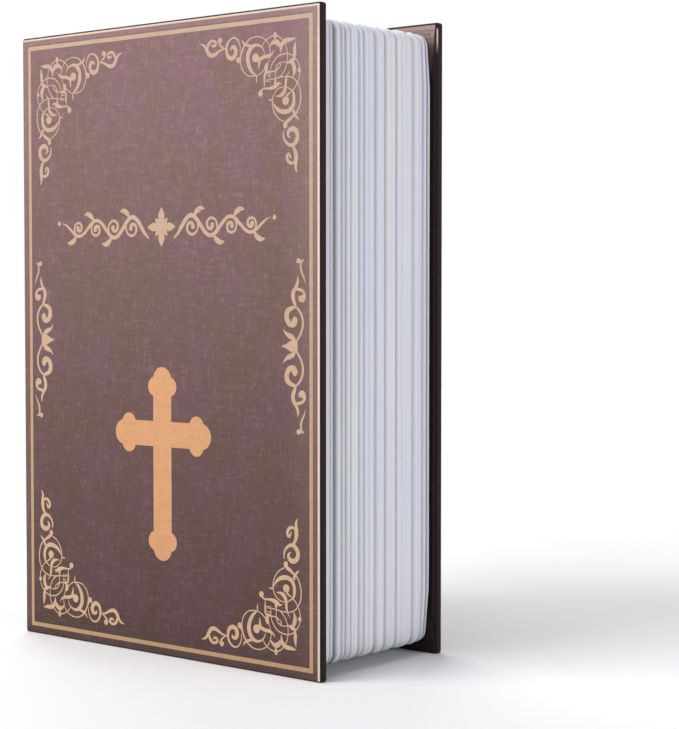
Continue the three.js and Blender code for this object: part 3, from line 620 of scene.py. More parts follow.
# The corner scrollwork, in millimetres right of and below the cover's corner, with the width of each line
corner_lines = [
    [(8.1, 8.5, 0.11), (9.2, 8.7, 0.75), (10.6, 8.8, 1.2), (12.0, 9.0, 1.25), (13.0, 9.8, 1.2),
     (13.4, 10.8, 0.8), (13.5, 12.0, 0.2)],
    [(17.5, 10.4, 0.11), (16.9, 9.5, 0.7), (15.7, 8.9, 1.3), (14.5, 9.3, 1.4), (13.7, 10.3, 0.9)],
    [(15.4, 6.3, 0.5), (15.4, 7.2, 1.0), (15.5, 8.2, 0.6)],
    [(8.2, 9.3, 0.11), (8.4, 10.3, 0.65), (8.5, 11.5, 1.1), (8.5, 12.7, 1.0), (8.7, 13.7, 0.4)],
    [(8.3, 13.9, 0.4), (9.2, 14.2, 1.1), (10.2, 14.6, 0.9), (11.2, 15.0, 0.15)],
    [(9.9, 14.6, 0.6), (9.0, 15.4, 1.2), (8.6, 16.6, 1.25), (8.7, 17.7, 0.85), (9.2, 18.8, 0.13)],
    [(17.3, 17.2, 0.2), (17.0, 15.7, 0.3), (16.0, 14.1, 0.36), (14.5, 12.9, 0.38), (12.7, 12.4, 0.38),
     (10.9, 12.4, 0.36), (9.3, 13.0, 0.34), (7.9, 14.2, 0.32), (7.0, 15.7, 0.3), (6.7, 17.3, 0.3),
     (6.9, 18.9, 0.3), (7.7, 20.5, 0.32), (8.7, 21.8, 0.34), (9.8, 22.4, 0.2)],
    [(9.0, 29.0, 0.4), (7.7, 28.0, 0.48), (6.8, 26.3, 0.46), (6.4, 24.2, 0.42), (6.6, 22.2, 0.38),
     (7.4, 20.5, 0.36), (8.7, 19.2, 0.34), (10.5, 18.5, 0.32), (12.6, 18.4, 0.32), (14.8, 18.6, 0.32),
     (16.8, 18.8, 0.28), (18.8, 18.8, 0.18)],
    [(12.4, 30.3, 0.35), (13.9, 29.6, 0.34), (15.3, 28.3, 0.35), (16.2, 26.6, 0.35), (16.5, 24.9, 0.34),
     (16.1, 23.3, 0.32), (15.1, 22.0, 0.3), (13.6, 21.2, 0.3), (12.2, 21.1, 0.2)],
    [(20.3, 10.2, 0.15), (19.6, 9.0, 0.3), (18.3, 8.0, 0.32), (16.8, 7.4, 0.34), (15.2, 7.3, 0.34),
     (13.7, 7.9, 0.34), (12.4, 9.1, 0.32), (11.5, 10.6, 0.3), (11.1, 12.3, 0.3), (11.1, 14.0, 0.3),
     (11.5, 15.6, 0.32), (12.3, 17.0, 0.34), (13.4, 18.1, 0.32), (14.6, 18.7, 0.2)],
    [(22.0, 17.5, 0.3), (20.6, 16.9, 0.32), (19.2, 15.8, 0.3), (18.0, 14.3, 0.25), (17.3, 12.6, 0.22),
     (17.3, 10.8, 0.26), (17.9, 9.2, 0.28), (19.2, 7.9, 0.3), (20.8, 7.2, 0.32), (22.6, 7.0, 0.34),
     (24.4, 7.4, 0.36), (26.0, 8.5, 0.5), (27.2, 10.1, 0.55), (27.9, 12.0, 0.5), (27.9, 13.9, 0.36),
     (27.1, 15.8, 0.34), (25.6, 17.1, 0.34), (23.9, 17.5, 0.36), (22.2, 17.4, 0.37)],
    [(10.8, 14.8, 0.2), (12.2, 14.5, 0.28), (13.7, 14.6, 0.28), (14.8, 15.3, 0.28), (15.3, 16.6, 0.28),
     (15.3, 18.2, 0.26), (15.3, 19.4, 0.2)],
    [(13.4, 14.8, 0.25), (14.5, 15.0, 0.32), (15.1, 15.8, 0.3), (14.6, 16.2, 0.3), (13.7, 15.6, 0.32),
     (13.4, 14.8, 0.25)],
    [(14.2, 16.0, 0.2), (15.0, 16.5, 0.34), (16.1, 16.7, 0.36), (17.5, 16.7, 0.34), (18.7, 16.4, 0.3)],
    [(17.2, 16.9, 0.2), (17.3, 18.3, 0.25), (17.2, 19.6, 0.13)],
    [(15.8, 11.0, 0.11), (16.4, 11.9, 0.55), (17.8, 12.5, 0.95), (19.3, 12.6, 1.0), (20.5, 13.0, 1.05),
     (21.6, 13.3, 1.0), (22.4, 13.3, 0.8)],
    [(21.4, 15.9, 0.11), (21.3, 14.8, 0.6), (21.1, 13.7, 1.0)],
    [(19.2, 11.9, 0.15), (19.7, 10.6, 0.34), (20.8, 9.6, 0.55), (22.4, 9.2, 0.8), (24.0, 9.8, 1.2),
     (25.1, 11.3, 1.35), (25.3, 13.2, 1.35), (24.7, 15.0, 1.2), (23.6, 16.5, 0.8), (22.1, 17.5, 0.2)],
    [(27.6, 7.3, 0.11), (26.8, 8.4, 0.65), (25.6, 9.0, 0.8), (24.1, 9.4, 0.6)],
    [(17.9, 14.4, 0.3), (18.5, 15.0, 1.2), (18.7, 15.9, 1.25), (18.4, 16.8, 0.6)],
    [(17.2, 17.0, 0.25), (18.2, 17.0, 0.5), (19.1, 17.2, 0.65), (19.3, 18.4, 0.65), (19.3, 19.6, 0.5),
     (19.4, 20.8, 0.13)],
    [(13.1, 20.4, 0.2), (14.0, 20.0, 0.6), (14.9, 20.5, 1.2), (16.2, 21.0, 1.1), (17.6, 21.2, 0.65),
     (19.3, 21.1, 0.48), (20.3, 21.5, 0.5), (20.7, 22.3, 0.5)],
    [(15.4, 18.7, 0.25), (15.4, 19.8, 0.85), (15.5, 20.8, 0.8)],
    [(10.3, 17.1, 0.15), (11.2, 18.2, 0.4), (11.6, 19.4, 0.8), (11.7, 20.8, 0.85), (12.0, 22.0, 1.1),
     (12.8, 23.0, 1.1), (14.0, 23.4, 0.65), (15.3, 23.4, 0.11)],
    [(9.7, 22.6, 0.15), (10.6, 23.0, 0.48), (11.5, 23.6, 0.6)],
    [(16.3, 24.8, 0.11), (15.7, 25.8, 0.6), (14.6, 26.9, 1.0), (13.0, 27.6, 1.25), (11.2, 27.7, 1.25),
     (9.7, 27.0, 1.2), (8.9, 25.6, 1.1), (8.8, 23.9, 0.95), (9.2, 22.6, 0.65), (10.2, 21.8, 0.4),
     (11.4, 21.2, 0.25), (12.6, 21.0, 0.13)],
    [(16.2, 24.4, 0.2), (17.0, 24.3, 0.45), (18.0, 24.3, 0.13)],
    [(22.1, 19.4, 0.16), (22.2, 18.5, 0.45), (22.1, 17.6, 0.3)],
    [(17.6, 19.2, 0.13), (18.3, 19.2, 0.3), (18.9, 19.1, 0.13)],
    [(17.0, 17.8, 0.13), (17.8, 17.7, 0.3), (18.6, 17.9, 0.13)],
    [(28.1, 10.6, 0.18), (28.2, 8.8, 0.35), (29.2, 7.1, 0.45), (30.7, 6.6, 0.52), (32.2, 7.3, 0.62),
     (33.1, 8.8, 0.78), (33.1, 10.5, 0.95), (32.4, 11.7, 1.15), (31.1, 12.1, 1.25), (30.0, 11.4, 1.3),
     (29.7, 10.2, 1.3), (30.3, 9.2, 1.15), (31.3, 9.2, 0.8), (31.6, 10.0, 0.3)],
    [(27.4, 10.4, 0.4), (27.9, 11.6, 0.55), (28.5, 12.7, 0.7)],
    [(33.4, 9.3, 0.35), (34.3, 9.3, 0.4)],
    [(34.9, 7.1, 0.5), (35.5, 6.5, 0.75), (36.1, 7.1, 0.72), (35.6, 8.1, 0.62), (34.7, 8.9, 0.5),
     (34.3, 9.4, 0.5), (35.4, 9.6, 0.6), (36.8, 10.3, 0.85), (38.3, 10.8, 1.1), (39.6, 10.5, 1.2),
     (40.5, 9.4, 1.1), (41.2, 8.3, 0.8), (42.1, 7.6, 0.6), (43.3, 7.3, 0.13)],
    [(38.9, 7.7, 0.2), (38.4, 8.2, 0.6), (37.6, 8.2, 0.8), (37.2, 7.5, 0.8), (37.9, 6.9, 0.78),
     (39.1, 6.9, 0.8), (40.0, 7.7, 0.9), (40.5, 9.0, 0.6)],
    [(9.0, 27.4, 0.8), (8.7, 28.4, 0.85), (8.0, 29.3, 0.7), (7.1, 30.1, 0.2)],
    [(8.6, 28.6, 0.4), (9.6, 29.4, 0.8), (10.9, 30.2, 1.0), (11.9, 30.9, 1.05), (12.1, 31.6, 0.9),
     (11.5, 32.0, 0.5)],
    [(10.0, 34.7, 0.2), (10.7, 34.3, 0.6), (10.9, 33.5, 1.0), (10.3, 32.7, 1.25), (9.3, 32.4, 1.35),
     (8.2, 32.8, 1.35), (7.6, 33.8, 1.3), (7.6, 35.0, 1.3), (8.3, 36.1, 1.25), (9.4, 36.7, 1.05),
     (10.6, 36.5, 0.9), (11.6, 35.8, 0.72), (12.3, 34.8, 0.6), (12.5, 33.7, 0.48), (12.4, 32.7, 0.2)],
    [(9.4, 36.9, 0.5), (8.6, 37.8, 0.95), (8.1, 39.2, 1.25), (8.1, 40.7, 1.35), (8.2, 42.0, 0.95),
     (8.1, 43.1, 0.68), (7.5, 44.0, 0.13)],
    [(8.6, 41.1, 0.5), (9.6, 41.5, 0.8), (10.6, 41.1, 0.9), (11.2, 40.3, 0.92), (11.2, 39.4, 0.85),
     (10.6, 38.9, 0.7), (10.2, 39.5, 0.6), (9.8, 40.3, 0.2)],
]
corner_beads = [
    (22.5, 12.6, 1.2), (11.7, 24.8, 1.15), (20.7, 22.3, 0.85), (28.7, 12.8, 0.85), (35.3, 7.0, 0.62),
    (15.4, 7.0, 0.6), (6.9, 17.0, 0.62), (11.8, 31.5, 0.7),
]


def mirrored(marks, side, up, centre_z):
    """Marks of distance from the left edge, distance below a level, and size, set at a side and turned up
    or down."""
    marks = np.array(marks, float)
    x = side * (marks[:, 0] - cover_right)
    return np.column_stack([x, centre_z - up * marks[:, 1], marks[:, 2]])


# Each corner's side and way up, and how far its print is shifted to the right and up
corner_places = {
    "upper_left": (1, 1, 0.2, -0.3),
    "upper_right": (-1, 1, -0.45, -0.4),
    "lower_left": (1, -1, -0.1, -0.1),
    "lower_right": (-1, -1, -0.45, -0.65),
}
for name, (side, up, right_shift, up_shift) in corner_places.items():
    corner = Print()
    level = cover_height if up > 0 else 0
    shift = (right_shift, up_shift, 0)
    for knots in corner_lines:
        corner.line(mirrored(knots, side, up, level) + shift)
    for bead in mirrored(corner_beads, side, up, level) + shift:
        corner.bead(*bead)
    corner.piece(f"printed_scrolls_{name}", ink_of_scrolls)

# The side scrollwork, in millimetres from the cover's edge and above or below its own middle
side_middle = 89.4
side_lines = [
    [(7.7, 22.9, 0.85), (6.7, 22.6, 0.79), (5.7, 23.2, 0.13)],
    [(6.8, 22.6, 0.59), (6.9, 21.2, 0.66), (6.6, 19.8, 0.66), (5.8, 18.3, 0.46), (5.2, 16.7, 0.13)],
    [(8.0, 18.8, 0.13), (7.9, 17.5, 0.79), (8.5, 16.0, 0.98), (9.5, 14.5, 1.25), (9.6, 12.9, 1.25),
     (9.0, 11.4, 0.98), (8.7, 10.5, 0.46)],
    [(9.0, 15.1, 0.26), (7.7, 15.2, 0.85), (6.2, 14.7, 0.79), (5.6, 13.5, 0.98), (6.2, 12.3, 1.18),
     (7.3, 12.5, 0.79), (7.5, 13.6, 0.20)],
    [(8.7, 10.5, 0.59), (10.1, 10.2, 1.12), (11.6, 9.3, 1.51), (11.9, 7.6, 1.57), (11.0, 6.1, 1.51),
     (9.5, 5.8, 1.44), (8.6, 6.8, 1.12), (9.0, 7.7, 0.59), (9.8, 7.3, 0.16)],
    [(9.0, 10.8, 0.46), (7.5, 9.6, 0.72), (6.4, 7.8, 0.72), (6.2, 5.6, 0.72), (6.9, 3.5, 0.66),
     (8.2, 1.6, 0.66), (8.8, 1.2, 0.33)],
    [(8.8, 1.6, 0.4), (9.7, 2.3, 1.3), (10.9, 2.8, 1.4), (12.1, 3.4, 0.85), (13.2, 4.5, 0.13)],
]
side_bud = [(8.0, 0.0, 0.66), (9.0, 0.0, 3.15), (10.5, 0.0, 2.89), (12.1, 0.0, 1.18), (13.7, 0.0, 0.13)]
side_beads = [(7.7, 22.8, 0.72), (6.4, 12.7, 0.98), (9.2, 6.5, 0.98), (9.0, 0.7, 0.98)]
for side, name in ((1, "left"), (-1, "right")):
    scrolls = Print()
    scrolls.line(mirrored(side_bud, side, 1, side_middle))
    for up in (1, -1):
        for knots in side_lines:
            scrolls.line(mirrored(knots, side, up, side_middle))
        for bead in mirrored(side_beads, side, up, side_middle):
            scrolls.bead(*bead)
    scrolls.piece(f"printed_side_{name}", ink_of_scrolls)

# The leafy band: a rosette, and on each side a waving stem with curled shoots and leaves
band_level = 122.2
band_start = 8.0
band_end = 41.5
stem_places = [5.0, band_start, 37.5, band_end]
stem_widths = [0.5, 1.3, 0.9, 0.2]
stem_steps = 24
stem_fade = 0.45
wave_length = 15.0
wave_height = 3.2
shoot_radius = 3.1
shoot_shrink = 0.09
shoot_gap = 0.1
shoot_bead = 0.72
shoot_steps = 12
leaf_shift = 1.0
leaf_marks = [(0, 0, 0.3), (1.2, 1.5, 1.5), (2.8, 2.2, 1.25), (4.2, 1.9, 0.1)]
end_bead = (1.3, 0.65)
petal_count = 8
petal_sizes = [(5.6, 2.3), (3.5, 1.5)]


def stem_height(x):
    """The stem's height at x: a sine wave that dies away towards its end."""
    fade = 1 - stem_fade * (x - band_start) / (band_end - band_start)
    return wave_height * fade * np.sin(2 * math.pi * (x - band_start) / wave_length)


def shoot(x, z, up, size):
    """A shoot that curls in: its radius falls from size to a fifth of it over one and a quarter turns."""
    angle = up * np.linspace(-math.pi / 2, 2 * math.pi, shoot_steps)
    radius = size * np.linspace(1, 0.2, shoot_steps)
    width = np.linspace(0.5, 1.15, shoot_steps)
    return np.column_stack([x + radius * np.cos(angle), z + radius * np.sin(angle), width])


leafy_band = Print()
stem_x = np.linspace(stem_places[0], band_end, stem_steps)
stem_width = np.interp(stem_x, stem_places, stem_widths)
crests = np.arange(band_start + wave_length / 4, band_end - 2, wave_length / 2)
for side in (1, -1):
    leafy_band.line(np.column_stack([side * stem_x, band_level + stem_height(stem_x), stem_width]))
    for number, crest_x in enumerate(crests):
        up = 1 if number % 2 == 0 else -1
        size = shoot_radius * (1 - shoot_shrink * number)
        centre_z = band_level + stem_height(crest_x) - up * (size + shoot_gap)
        curl = shoot(crest_x, centre_z, -up, size) * [side, 1, 1]
        leafy_band.line(curl)
        leafy_band.bead(curl[-1, 0], curl[-1, 1], shoot_bead)
        leaf_x = crest_x + leaf_shift
        leaf_z = band_level + stem_height(leaf_x)
        leafy_band.line([(side * (leaf_x + x), leaf_z + up * z, width) for x, z, width in leaf_marks])
    leafy_band.bead(side * (band_end + end_bead[0]), band_level + stem_height(band_end), end_bead[1])
for number in range(petal_count):
    angle = 2 * math.pi * number / petal_count
    reach, width = petal_sizes[number % 2]
    steps = [(0.9, 0.4), (0.4 * reach, 0.9 * width), (0.65 * reach, width), (reach, 0.1)]
    petal = [(r * math.cos(angle), band_level + r * math.sin(angle), w) for r, w in steps]
    leafy_band.line(petal)
leafy_band.bead(0, band_level, 1.0)
leafy_band.piece("printed_title_band", ink_of_scrolls)

# The cross: four arms of one width, each with a round tip and two round buds
cross_middle = (0.03, 63.4)
cross_half_width = 3.6
cross_reach = {"up": 19.1, "left": 19.05, "down": 36.2, "right": 19.05}
tip_radius = 3.64
tip_steps = 14
bud_radius = 2.75
bud_offset = 2.9
bud_inset = 5.57
bud_steps = 16


def arm_side(reach):
    """One side of an arm that points up, from its root to its tip: the straight edge, the bud's arc from
    where it leaves the edge to where it meets the tip's circle, and the tip's arc to its top."""
    bud_z = reach - bud_inset
    tip_z = reach - tip_radius
    proud = cross_half_width - bud_offset
    leave = math.atan2(-math.sqrt(bud_radius**2 - proud**2), proud)
    gap = math.hypot(bud_offset, bud_z - tip_z)
    toward = math.atan2(tip_z - bud_z, -bud_offset)
    spread = math.acos((bud_radius**2 + gap**2 - tip_radius**2) / (2 * bud_radius * gap))
    angle = np.linspace(leave, toward - spread, bud_steps)
    bud = np.column_stack([bud_offset + bud_radius * np.cos(angle), bud_z + bud_radius * np.sin(angle)])
    tip_start = math.atan2(bud[-1, 1] - tip_z, bud[-1, 0])
    angle = np.linspace(tip_start, math.pi / 2, tip_steps)[1:]
    tip = np.column_stack([tip_radius * np.cos(angle), tip_z + tip_radius * np.sin(angle)])
    return np.vstack([[cross_half_width, cross_half_width], bud, tip])


def cross_outline():
    """The four arms in turn, each with its side, its mirror image, and a quarter turn from the last."""
    parts = []
    for quarter, reach in enumerate(cross_reach.values()):
        side = arm_side(reach)
        arm = np.vstack([side, side[-2:0:-1] * [-1, 1]])
        turn = quarter * math.pi / 2
        across = arm[:, 0] * math.cos(turn) - arm[:, 1] * math.sin(turn)
        level = arm[:, 0] * math.sin(turn) + arm[:, 1] * math.cos(turn)
        parts.append(np.column_stack([across, level]))
    return np.concatenate(parts) + cross_middle


cross = Print()
cross.patch(cross_outline())
cross.piece("printed_cross", gold_ink("cross_ink", ink(214, 153, 102), ink(224, 169, 121)))


# Brown lining papers are pasted inside both covers, between the wrap's turned-in edges. They hide the raw
# boards there.
def lining_paper():
    """Matt brown paper with soft clouds and fine fibres."""
    finish = Finish("lining_paper", Roughness=0.85)
    clouds = finish.noise(finish.place, 0.08, 3, 0.6)
    fibres = finish.noise((0.5, 1, 2), 2.2, 4, 0.65)
    shade = (0.5 * clouds + 0.5 * fibres).rise(0.3, 0.7)
    finish.feed(Base_Color=shade.between(ink(96, 76, 71), ink(122, 100, 93)))
    return finish.bump(fibres, 0.03).material


coat(lining_paper(), "front_cover_lining", "back_cover_lining")


# The page block is one white plastic moulding, open at the front and with a rim for a floor. Its head,
# fore-edge and tail are ribbed like the edges of pages, and it is glued to the back cover.
def box_corners(node):
    """A CAD node's lowest and highest corners, in millimetres."""
    return [np.array(corner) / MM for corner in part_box(node)]


block_low, block_high = box_corners("page_block")
block_spine_corner = 0.3
tray_low, tray_high = box_corners("steel_tray")
tray_corner = 3.2
tray_gap = 0.5
floor_rim_y = 21.4
floor_rim_inset = 14.4
floor_opening_corner = 1.0
front_lip = 0.35

grooves = [
    (4.0, 0.5), (5.6, 1.5), (8.8, 0.6), (10.6, 0.6), (12.6, 0.4), (13.7, 0.2), (16.5, 0.45),
    (18.25, 0.5), (20.2, 0.3), (23.5, 0.5), (27.9, 0.5), (30.0, 0.2), (32.9, 0.5), (35.1, 0.25),
    (37.0, 0.2), (40.5, 0.45), (43.3, 0.2), (44.9, 0.55), (46.8, 0.9),
]
swells = [0.0, 5.6, 10.6, 16.5, 23.5, 27.9, 32.9, 40.5, 44.9, 48.4]
swell_depth = 0.45
front_rib_end = 0.8
back_rib_end = 0.1
rib_shoulder = 1.35
narrowest_crown = 0.1
shoulder_steps = 7
crown_steps = 4
page_corner = 3.3
corner_share = 0.5
end_share = 1.5
lean_depth = 1.2
lean_front = 0.15
lean_starts = 15.0
straight_places = [78.0, 60.0, 45.0, 32.0, 22.0, lean_starts, 12.0, 9.0, 6.5]
corner_steps = 9
waist_depth = 0.1
foot_depth = 0.35
foot_starts = 22.0
sink_from = 17.0


def block_ring(low, high, fore_round, spine_round, lean=0.0, sink=0.0):
    """Points round a rectangle in X and Z, from its fore-edge over its head to its spine side and back by
    its tail. All corners are quarter circles. Near its ends the fore-edge leans in, by the share of the
    lean's length that is passed. It also sinks in by a half sine wave from tail to head, and more towards
    the tail, by the share of the foot's length that is left."""
    sweep = np.linspace(0, math.pi / 2, corner_steps)
    from_end = np.array([*straight_places, *(fore_round * (1 - np.sin(sweep)))])
    inset = np.array([*np.zeros(len(straight_places)), *(fore_round * (1 - np.cos(sweep)))])
    fore_x = high[0] - inset - lean * np.maximum(0, 1 - from_end / lean_starts)
    spine_x = low[0] + spine_round * (1 - sine)
    spine_inset = spine_round * (1 - cosine)
    upper = np.column_stack([[*fore_x, *spine_x], high[1] - np.array([*from_end, *spine_inset])])
    lower = upper[::-1] * [1, -1] + [0, low[1] + high[1]]
    ring = np.concatenate([upper, lower])
    share = (ring[:, 0] - low[0]) / (high[0] - low[0])
    above = ring[:, 1] - low[1]
    foot = np.maximum(0, 1 - above / foot_starts)
    waist = np.sin(math.pi * above / (high[1] - low[1]))
    ring[:, 0] -= sink * share * (waist_depth * waist + foot_depth * foot)
    return ring


def rib_stations():
    """Rows of Y, inset and groove shade across the ribs. Between two grooves, given by their distance from
    the front and their depth, the inset falls from each groove's depth to nought within a shoulder, as the
    square of what is left of it. Groups of ribs swell together: each group's inset grows by the square of
    the distance from its middle."""
    front, back = block_low[1], block_high[1]
    inner_edges = [(front + place, depth) for place, depth in grooves]
    edges = [(front, front_rib_end), *inner_edges, (back, back_rib_end)]
    left = np.linspace(1, 0, shoulder_steps)
    passed = 1 - left
    stations = []
    for (start, start_depth), (end, end_depth) in zip(edges[:-1], edges[1:]):
        shoulder = min(rib_shoulder, (end - start - narrowest_crown) / 2)
        crown = np.linspace(start + shoulder, end - shoulder, crown_steps)[1:-1]
        down = [start + shoulder * passed, start_depth * left**2, start_depth * left]
        up = [end - shoulder * left, end_depth * passed**2, end_depth * passed]
        stations.append(np.column_stack(down))
        stations.append(np.column_stack([crown, 0 * crown, 0 * crown]))
        stations.append(np.column_stack(up)[:-1])
    stations.append([[back, back_rib_end, 0]])
    y, inset, shade = np.concatenate(stations).T
    place = y - front
    bounds = np.array(swells)
    group = np.clip(np.searchsorted(bounds, place, side="right") - 1, 0, len(bounds) - 2)
    middle = (bounds[group] + bounds[group + 1]) / 2
    half = (bounds[group + 1] - bounds[group]) / 2
    return np.column_stack([y, inset + swell_depth * ((place - middle) / half) ** 2, shade])


def page_block():
    """Rings in X and Z carried round the block's wall: over the ribs from the back to the front, over the
    lip, down the inner wall, across the floor rim and out through its opening. The last joins the first."""
    stations = rib_stations()[::-1]
    low, high = block_low[[0, 2]], block_high[[0, 2]]
    rings = []
    for y, inset, _ in stations:
        sink = max(0, (y - sink_from) / (block_high[1] - sink_from))
        lean = lean_front + (lean_depth - lean_front) * sink
        size = page_corner - corner_share * inset
        ring_low, ring_high = low + [0, end_share * inset], high - [inset, end_share * inset]
        rings.append((y, block_ring(ring_low, ring_high, size, block_spine_corner, lean, sink)))
    inner_low, inner_high = tray_low[[0, 2]] - tray_gap, tray_high[[0, 2]] + tray_gap
    wall_round = tray_corner + tray_gap
    lip_round = wall_round + front_lip
    lip = block_ring(inner_low - front_lip, inner_high + front_lip, lip_round, lip_round)
    wall = block_ring(inner_low, inner_high, wall_round, wall_round)
    open_low, open_high = low + floor_rim_inset, high - floor_rim_inset
    opening = block_ring(open_low, open_high, floor_opening_corner, floor_opening_corner)
    mouth = block_low[1]
    rings += [(mouth, lip), (mouth + front_lip, wall), (floor_rim_y, wall), (floor_rim_y, opening)]
    rings.append((block_high[1], opening))
    rows = [at_depth(ring, y) for y, ring in rings]
    points = np.concatenate(rows)
    faces = grid_faces(len(rows), len(rows[0]), True, True)
    shades = np.concatenate([stations[:, 2], np.zeros(len(rows) - len(stations))])
    return (points, outward(points, faces)), np.repeat(shades, len(rows[0]))


def page_plastic():
    """Satin white plastic, a little cool, with faint streaks along the pages, a fine grain, and a grey tint
    of dust and painted shade down in the grooves, painted shade near the front cover and at the foot, and
    a painted white highlight along the rim at the back cover."""
    finish = Finish("page_plastic", Specular_IOR_Level=0.4)
    streaks = finish.noise((0.02, 2.4, 0.02), 1.0, 4, 0.6)
    leaves = finish.noise((0.01, 7.0, 0.01), 1.0, 2, 0.5)
    clouds = finish.noise(finish.place, 0.03, 2)
    grain = finish.noise(finish.place, 3.0, 2)
    depth = finish.place.node("ShaderNodeAttribute", {"attribute_name": "groove"}, result=2)
    shade = (0.6 * streaks + 0.4 * leaves).rise(0.25, 0.75)
    tints = finish.noise((0.004, 0.55, 0.004), 1.0, 1)
    pale = tints.rise(0.35, 0.65).between(ink(219, 221, 222), ink(214, 215, 230))
    pale = (clouds.rise(0.3, 0.7) * 0.3).between(pale, ink(224, 224, 231))
    streaked = ((1 - shade) * 0.22).between(pale, ink(172, 174, 184))
    # Dust and painted shade down in the grooves.
    dust_and_groove_shade = (depth.rise(0.0, 0.9) * 0.62).between(streaked, ink(96, 98, 108))
    # Painted shade near the front cover, where the cover shades the block.
    shade_near_cover = finish.y.fall(-25, -8) * 0.22
    # Painted shade towards the foot of the block.
    shade_at_foot = finish.z.fall(2, 10) * 0.3
    shaded = shade_near_cover.between(dust_and_groove_shade, ink(150, 151, 158))
    shaded = shade_at_foot.between(shaded, ink(124, 124, 134))
    # A painted highlight whitens the rim at the back cover.
    back_rim_highlight = finish.y.rise(23.5, 23.75) * (0.6 + 0.4 * finish.z.rise(20, 80)) * 0.95
    colour = back_rim_highlight.between(shaded, ink(255, 255, 255))
    finish.feed(Base_Color=colour, Roughness=0.38 + 0.16 * grain)
    return finish.bump(streaks * 0.9 + 0.5 * leaves + 0.1 * grain, 0.09).material


block_shape, groove_shades = page_block()
plastic = page_plastic()
pages = mesh_piece("ribbed_page_block", block_shape, plastic, "book_case", "page_block", 50)
pages.data.attributes.new("groove", "FLOAT", "POINT").data.foreach_set("value", groove_shades)


# The steel box is a folded tray with a rim round its front. Both are powder coated in a slate green with a
# fine orange peel, and the rim is folded back along the door's edges to a narrow stop.
def powder_coat():
    """Slate green powder coat: a fine orange peel, small specks, and a slow change of gloss."""
    finish = Finish("powder_coat", Specular_IOR_Level=0.5)
    peel = finish.noise(finish.place, 1.1, 2, 0.45)
    fine = finish.noise(finish.place, 4.0, 2, 0.5)
    clouds = finish.noise(finish.place, 0.05, 2)
    colour = clouds.rise(0.3, 0.7).between(ink(72, 84, 81), ink(78, 90, 87))
    colour = (peel.rise(0.45, 0.65) * 0.22).between(colour, ink(104, 118, 114))
    colour = (fine.rise(0.5, 0.75) * 0.4).between(colour, ink(50, 60, 58))
    finish.feed(Base_Color=colour, Roughness=0.32 + 0.12 * clouds)
    return finish.bump(peel + 0.3 * fine, 0.11).material


same_place = 1e-7
flat_turn = math.radians(1)
rounded_turn = math.radians(30)
sharp_turn = math.radians(32)


def eased(node, finish, body, radius, steps=3):
    """A copy of a CAD piece with every sharp edge rounded: doubles are merged, flat neighbours joined, and
    a bevel runs along each edge that turns by more than thirty degrees. It stands for the CAD piece."""
    work = bmesh.new()
    work.from_mesh(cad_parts[node].data)
    bmesh.ops.remove_doubles(work, verts=work.verts, dist=same_place)
    bmesh.ops.dissolve_limit(work, angle_limit=flat_turn, verts=work.verts, edges=work.edges)
    mesh = bpy.data.meshes.new(f"eased_{node}")
    work.to_mesh(mesh)
    work.free()
    for name in ("custom_normal", "sharp_edge", "sharp_face"):
        if name in mesh.attributes:
            mesh.attributes.remove(mesh.attributes[name])
    mesh.shade_smooth()
    mesh.set_sharp_from_angle(angle=sharp_turn)
    mesh.materials.append(finish)
    piece = bpy.data.objects.new(f"eased_{node}", mesh)
    bpy.context.scene.collection.objects.link(piece)
    bevel = piece.modifiers.new("round_edges", "BEVEL")
    bevel.width = radius * MM
    bevel.segments = steps
    bevel.limit_method = "ANGLE"
    bevel.angle_limit = rounded_turn
    piece.modifiers.new("flat_faces", "WEIGHTED_NORMAL")
    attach(piece, body)
    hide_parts(node)


coating = powder_coat()
eased("steel_tray", coating, "book_case", 0.35)
eased("front_rim", coating, "book_case", 0.3)


# The catch bracket is a zinc-plated steel angle, welded to the tray's wall. The lock's cam turns behind
# it, and so holds the door shut.
def zinc_plate():
    """Bright zinc: small crystals that differ in shade and gloss, and faint rolling lines."""
    finish = Finish("zinc_plate", Metallic=1.0)
    crystals = finish.noise(finish.place, 0.9, 3, 0.6)
    lines = finish.noise((0.3, 4, 4), 1.0, 3, 0.6)
    colour = crystals.rise(0.35, 0.65).between(ink(172, 176, 182), ink(204, 206, 208))
    finish.feed(Base_Color=colour, Roughness=0.26 + 0.2 * crystals)
    return finish.bump(lines, 0.012).material


plated = zinc_plate()
eased("catch_bracket", plated, "book_case", 0.2)


# The door's hinge has one leaf on the rim and one on the door, both coated with them, rolled into knuckles
# on one plated pin.
eased("rim_hinge_leaf", coating, "book_case", 0.15, 2)
eased("door_hinge_leaf", coating, "door", 0.15, 2)
eased("hinge_pin", plated, "book_case", 0.15, 2)


# The door is a pan of sheet steel, folded back on three sides, with the same coat as the box. It carries
# the lock near its free edge.
eased("door_panel", coating, "door", 0.45, 4)


# The cam lock's housing is die-cast and chrome plated: a flared bezel with a rolled lip in front of the
# door, and behind it a threaded barrel with two flats that a washer and a nut clamp to the sheet.
housing_low, housing_high = box_corners("lock_housing")
lock_x, _, lock_z = ((housing_low + housing_high) / 2).tolist()
door_face = -19.2
bezel_front = -23.4
bezel_radius = 10.0
bezel_front_radius = 7.7
bezel_ease = 0.25
bezel_bulge = 0.35
bezel_side = 0.9
bezel_rim = 0.3
lip_radius = 0.4
slope_steps = 12
seat_radius = 6.9
seat_y = -21.8
bore_radius = 5.8
barrel_radius = 8.0
barrel_flat = 7.0
barrel_end = -8.2
plain_barrel = 1.0
thread_start = 1.1
thread_pitch = 1.25
thread_depth = 0.5
turn_steps = 96
turn_angle = np.linspace(0, 2 * math.pi, turn_steps, endpoint=False)[:, None]


def turned(profile):
    """Radii and Ys carried once round the lock's axis: x and z are the radius times cosine and sine."""
    radius, y = np.array(profile, float).T
    x = lock_x + radius * np.cos(turn_angle)
    z = lock_z + radius * np.sin(turn_angle)
    return np.stack([x, np.broadcast_to(y, x.shape), z], axis=2)


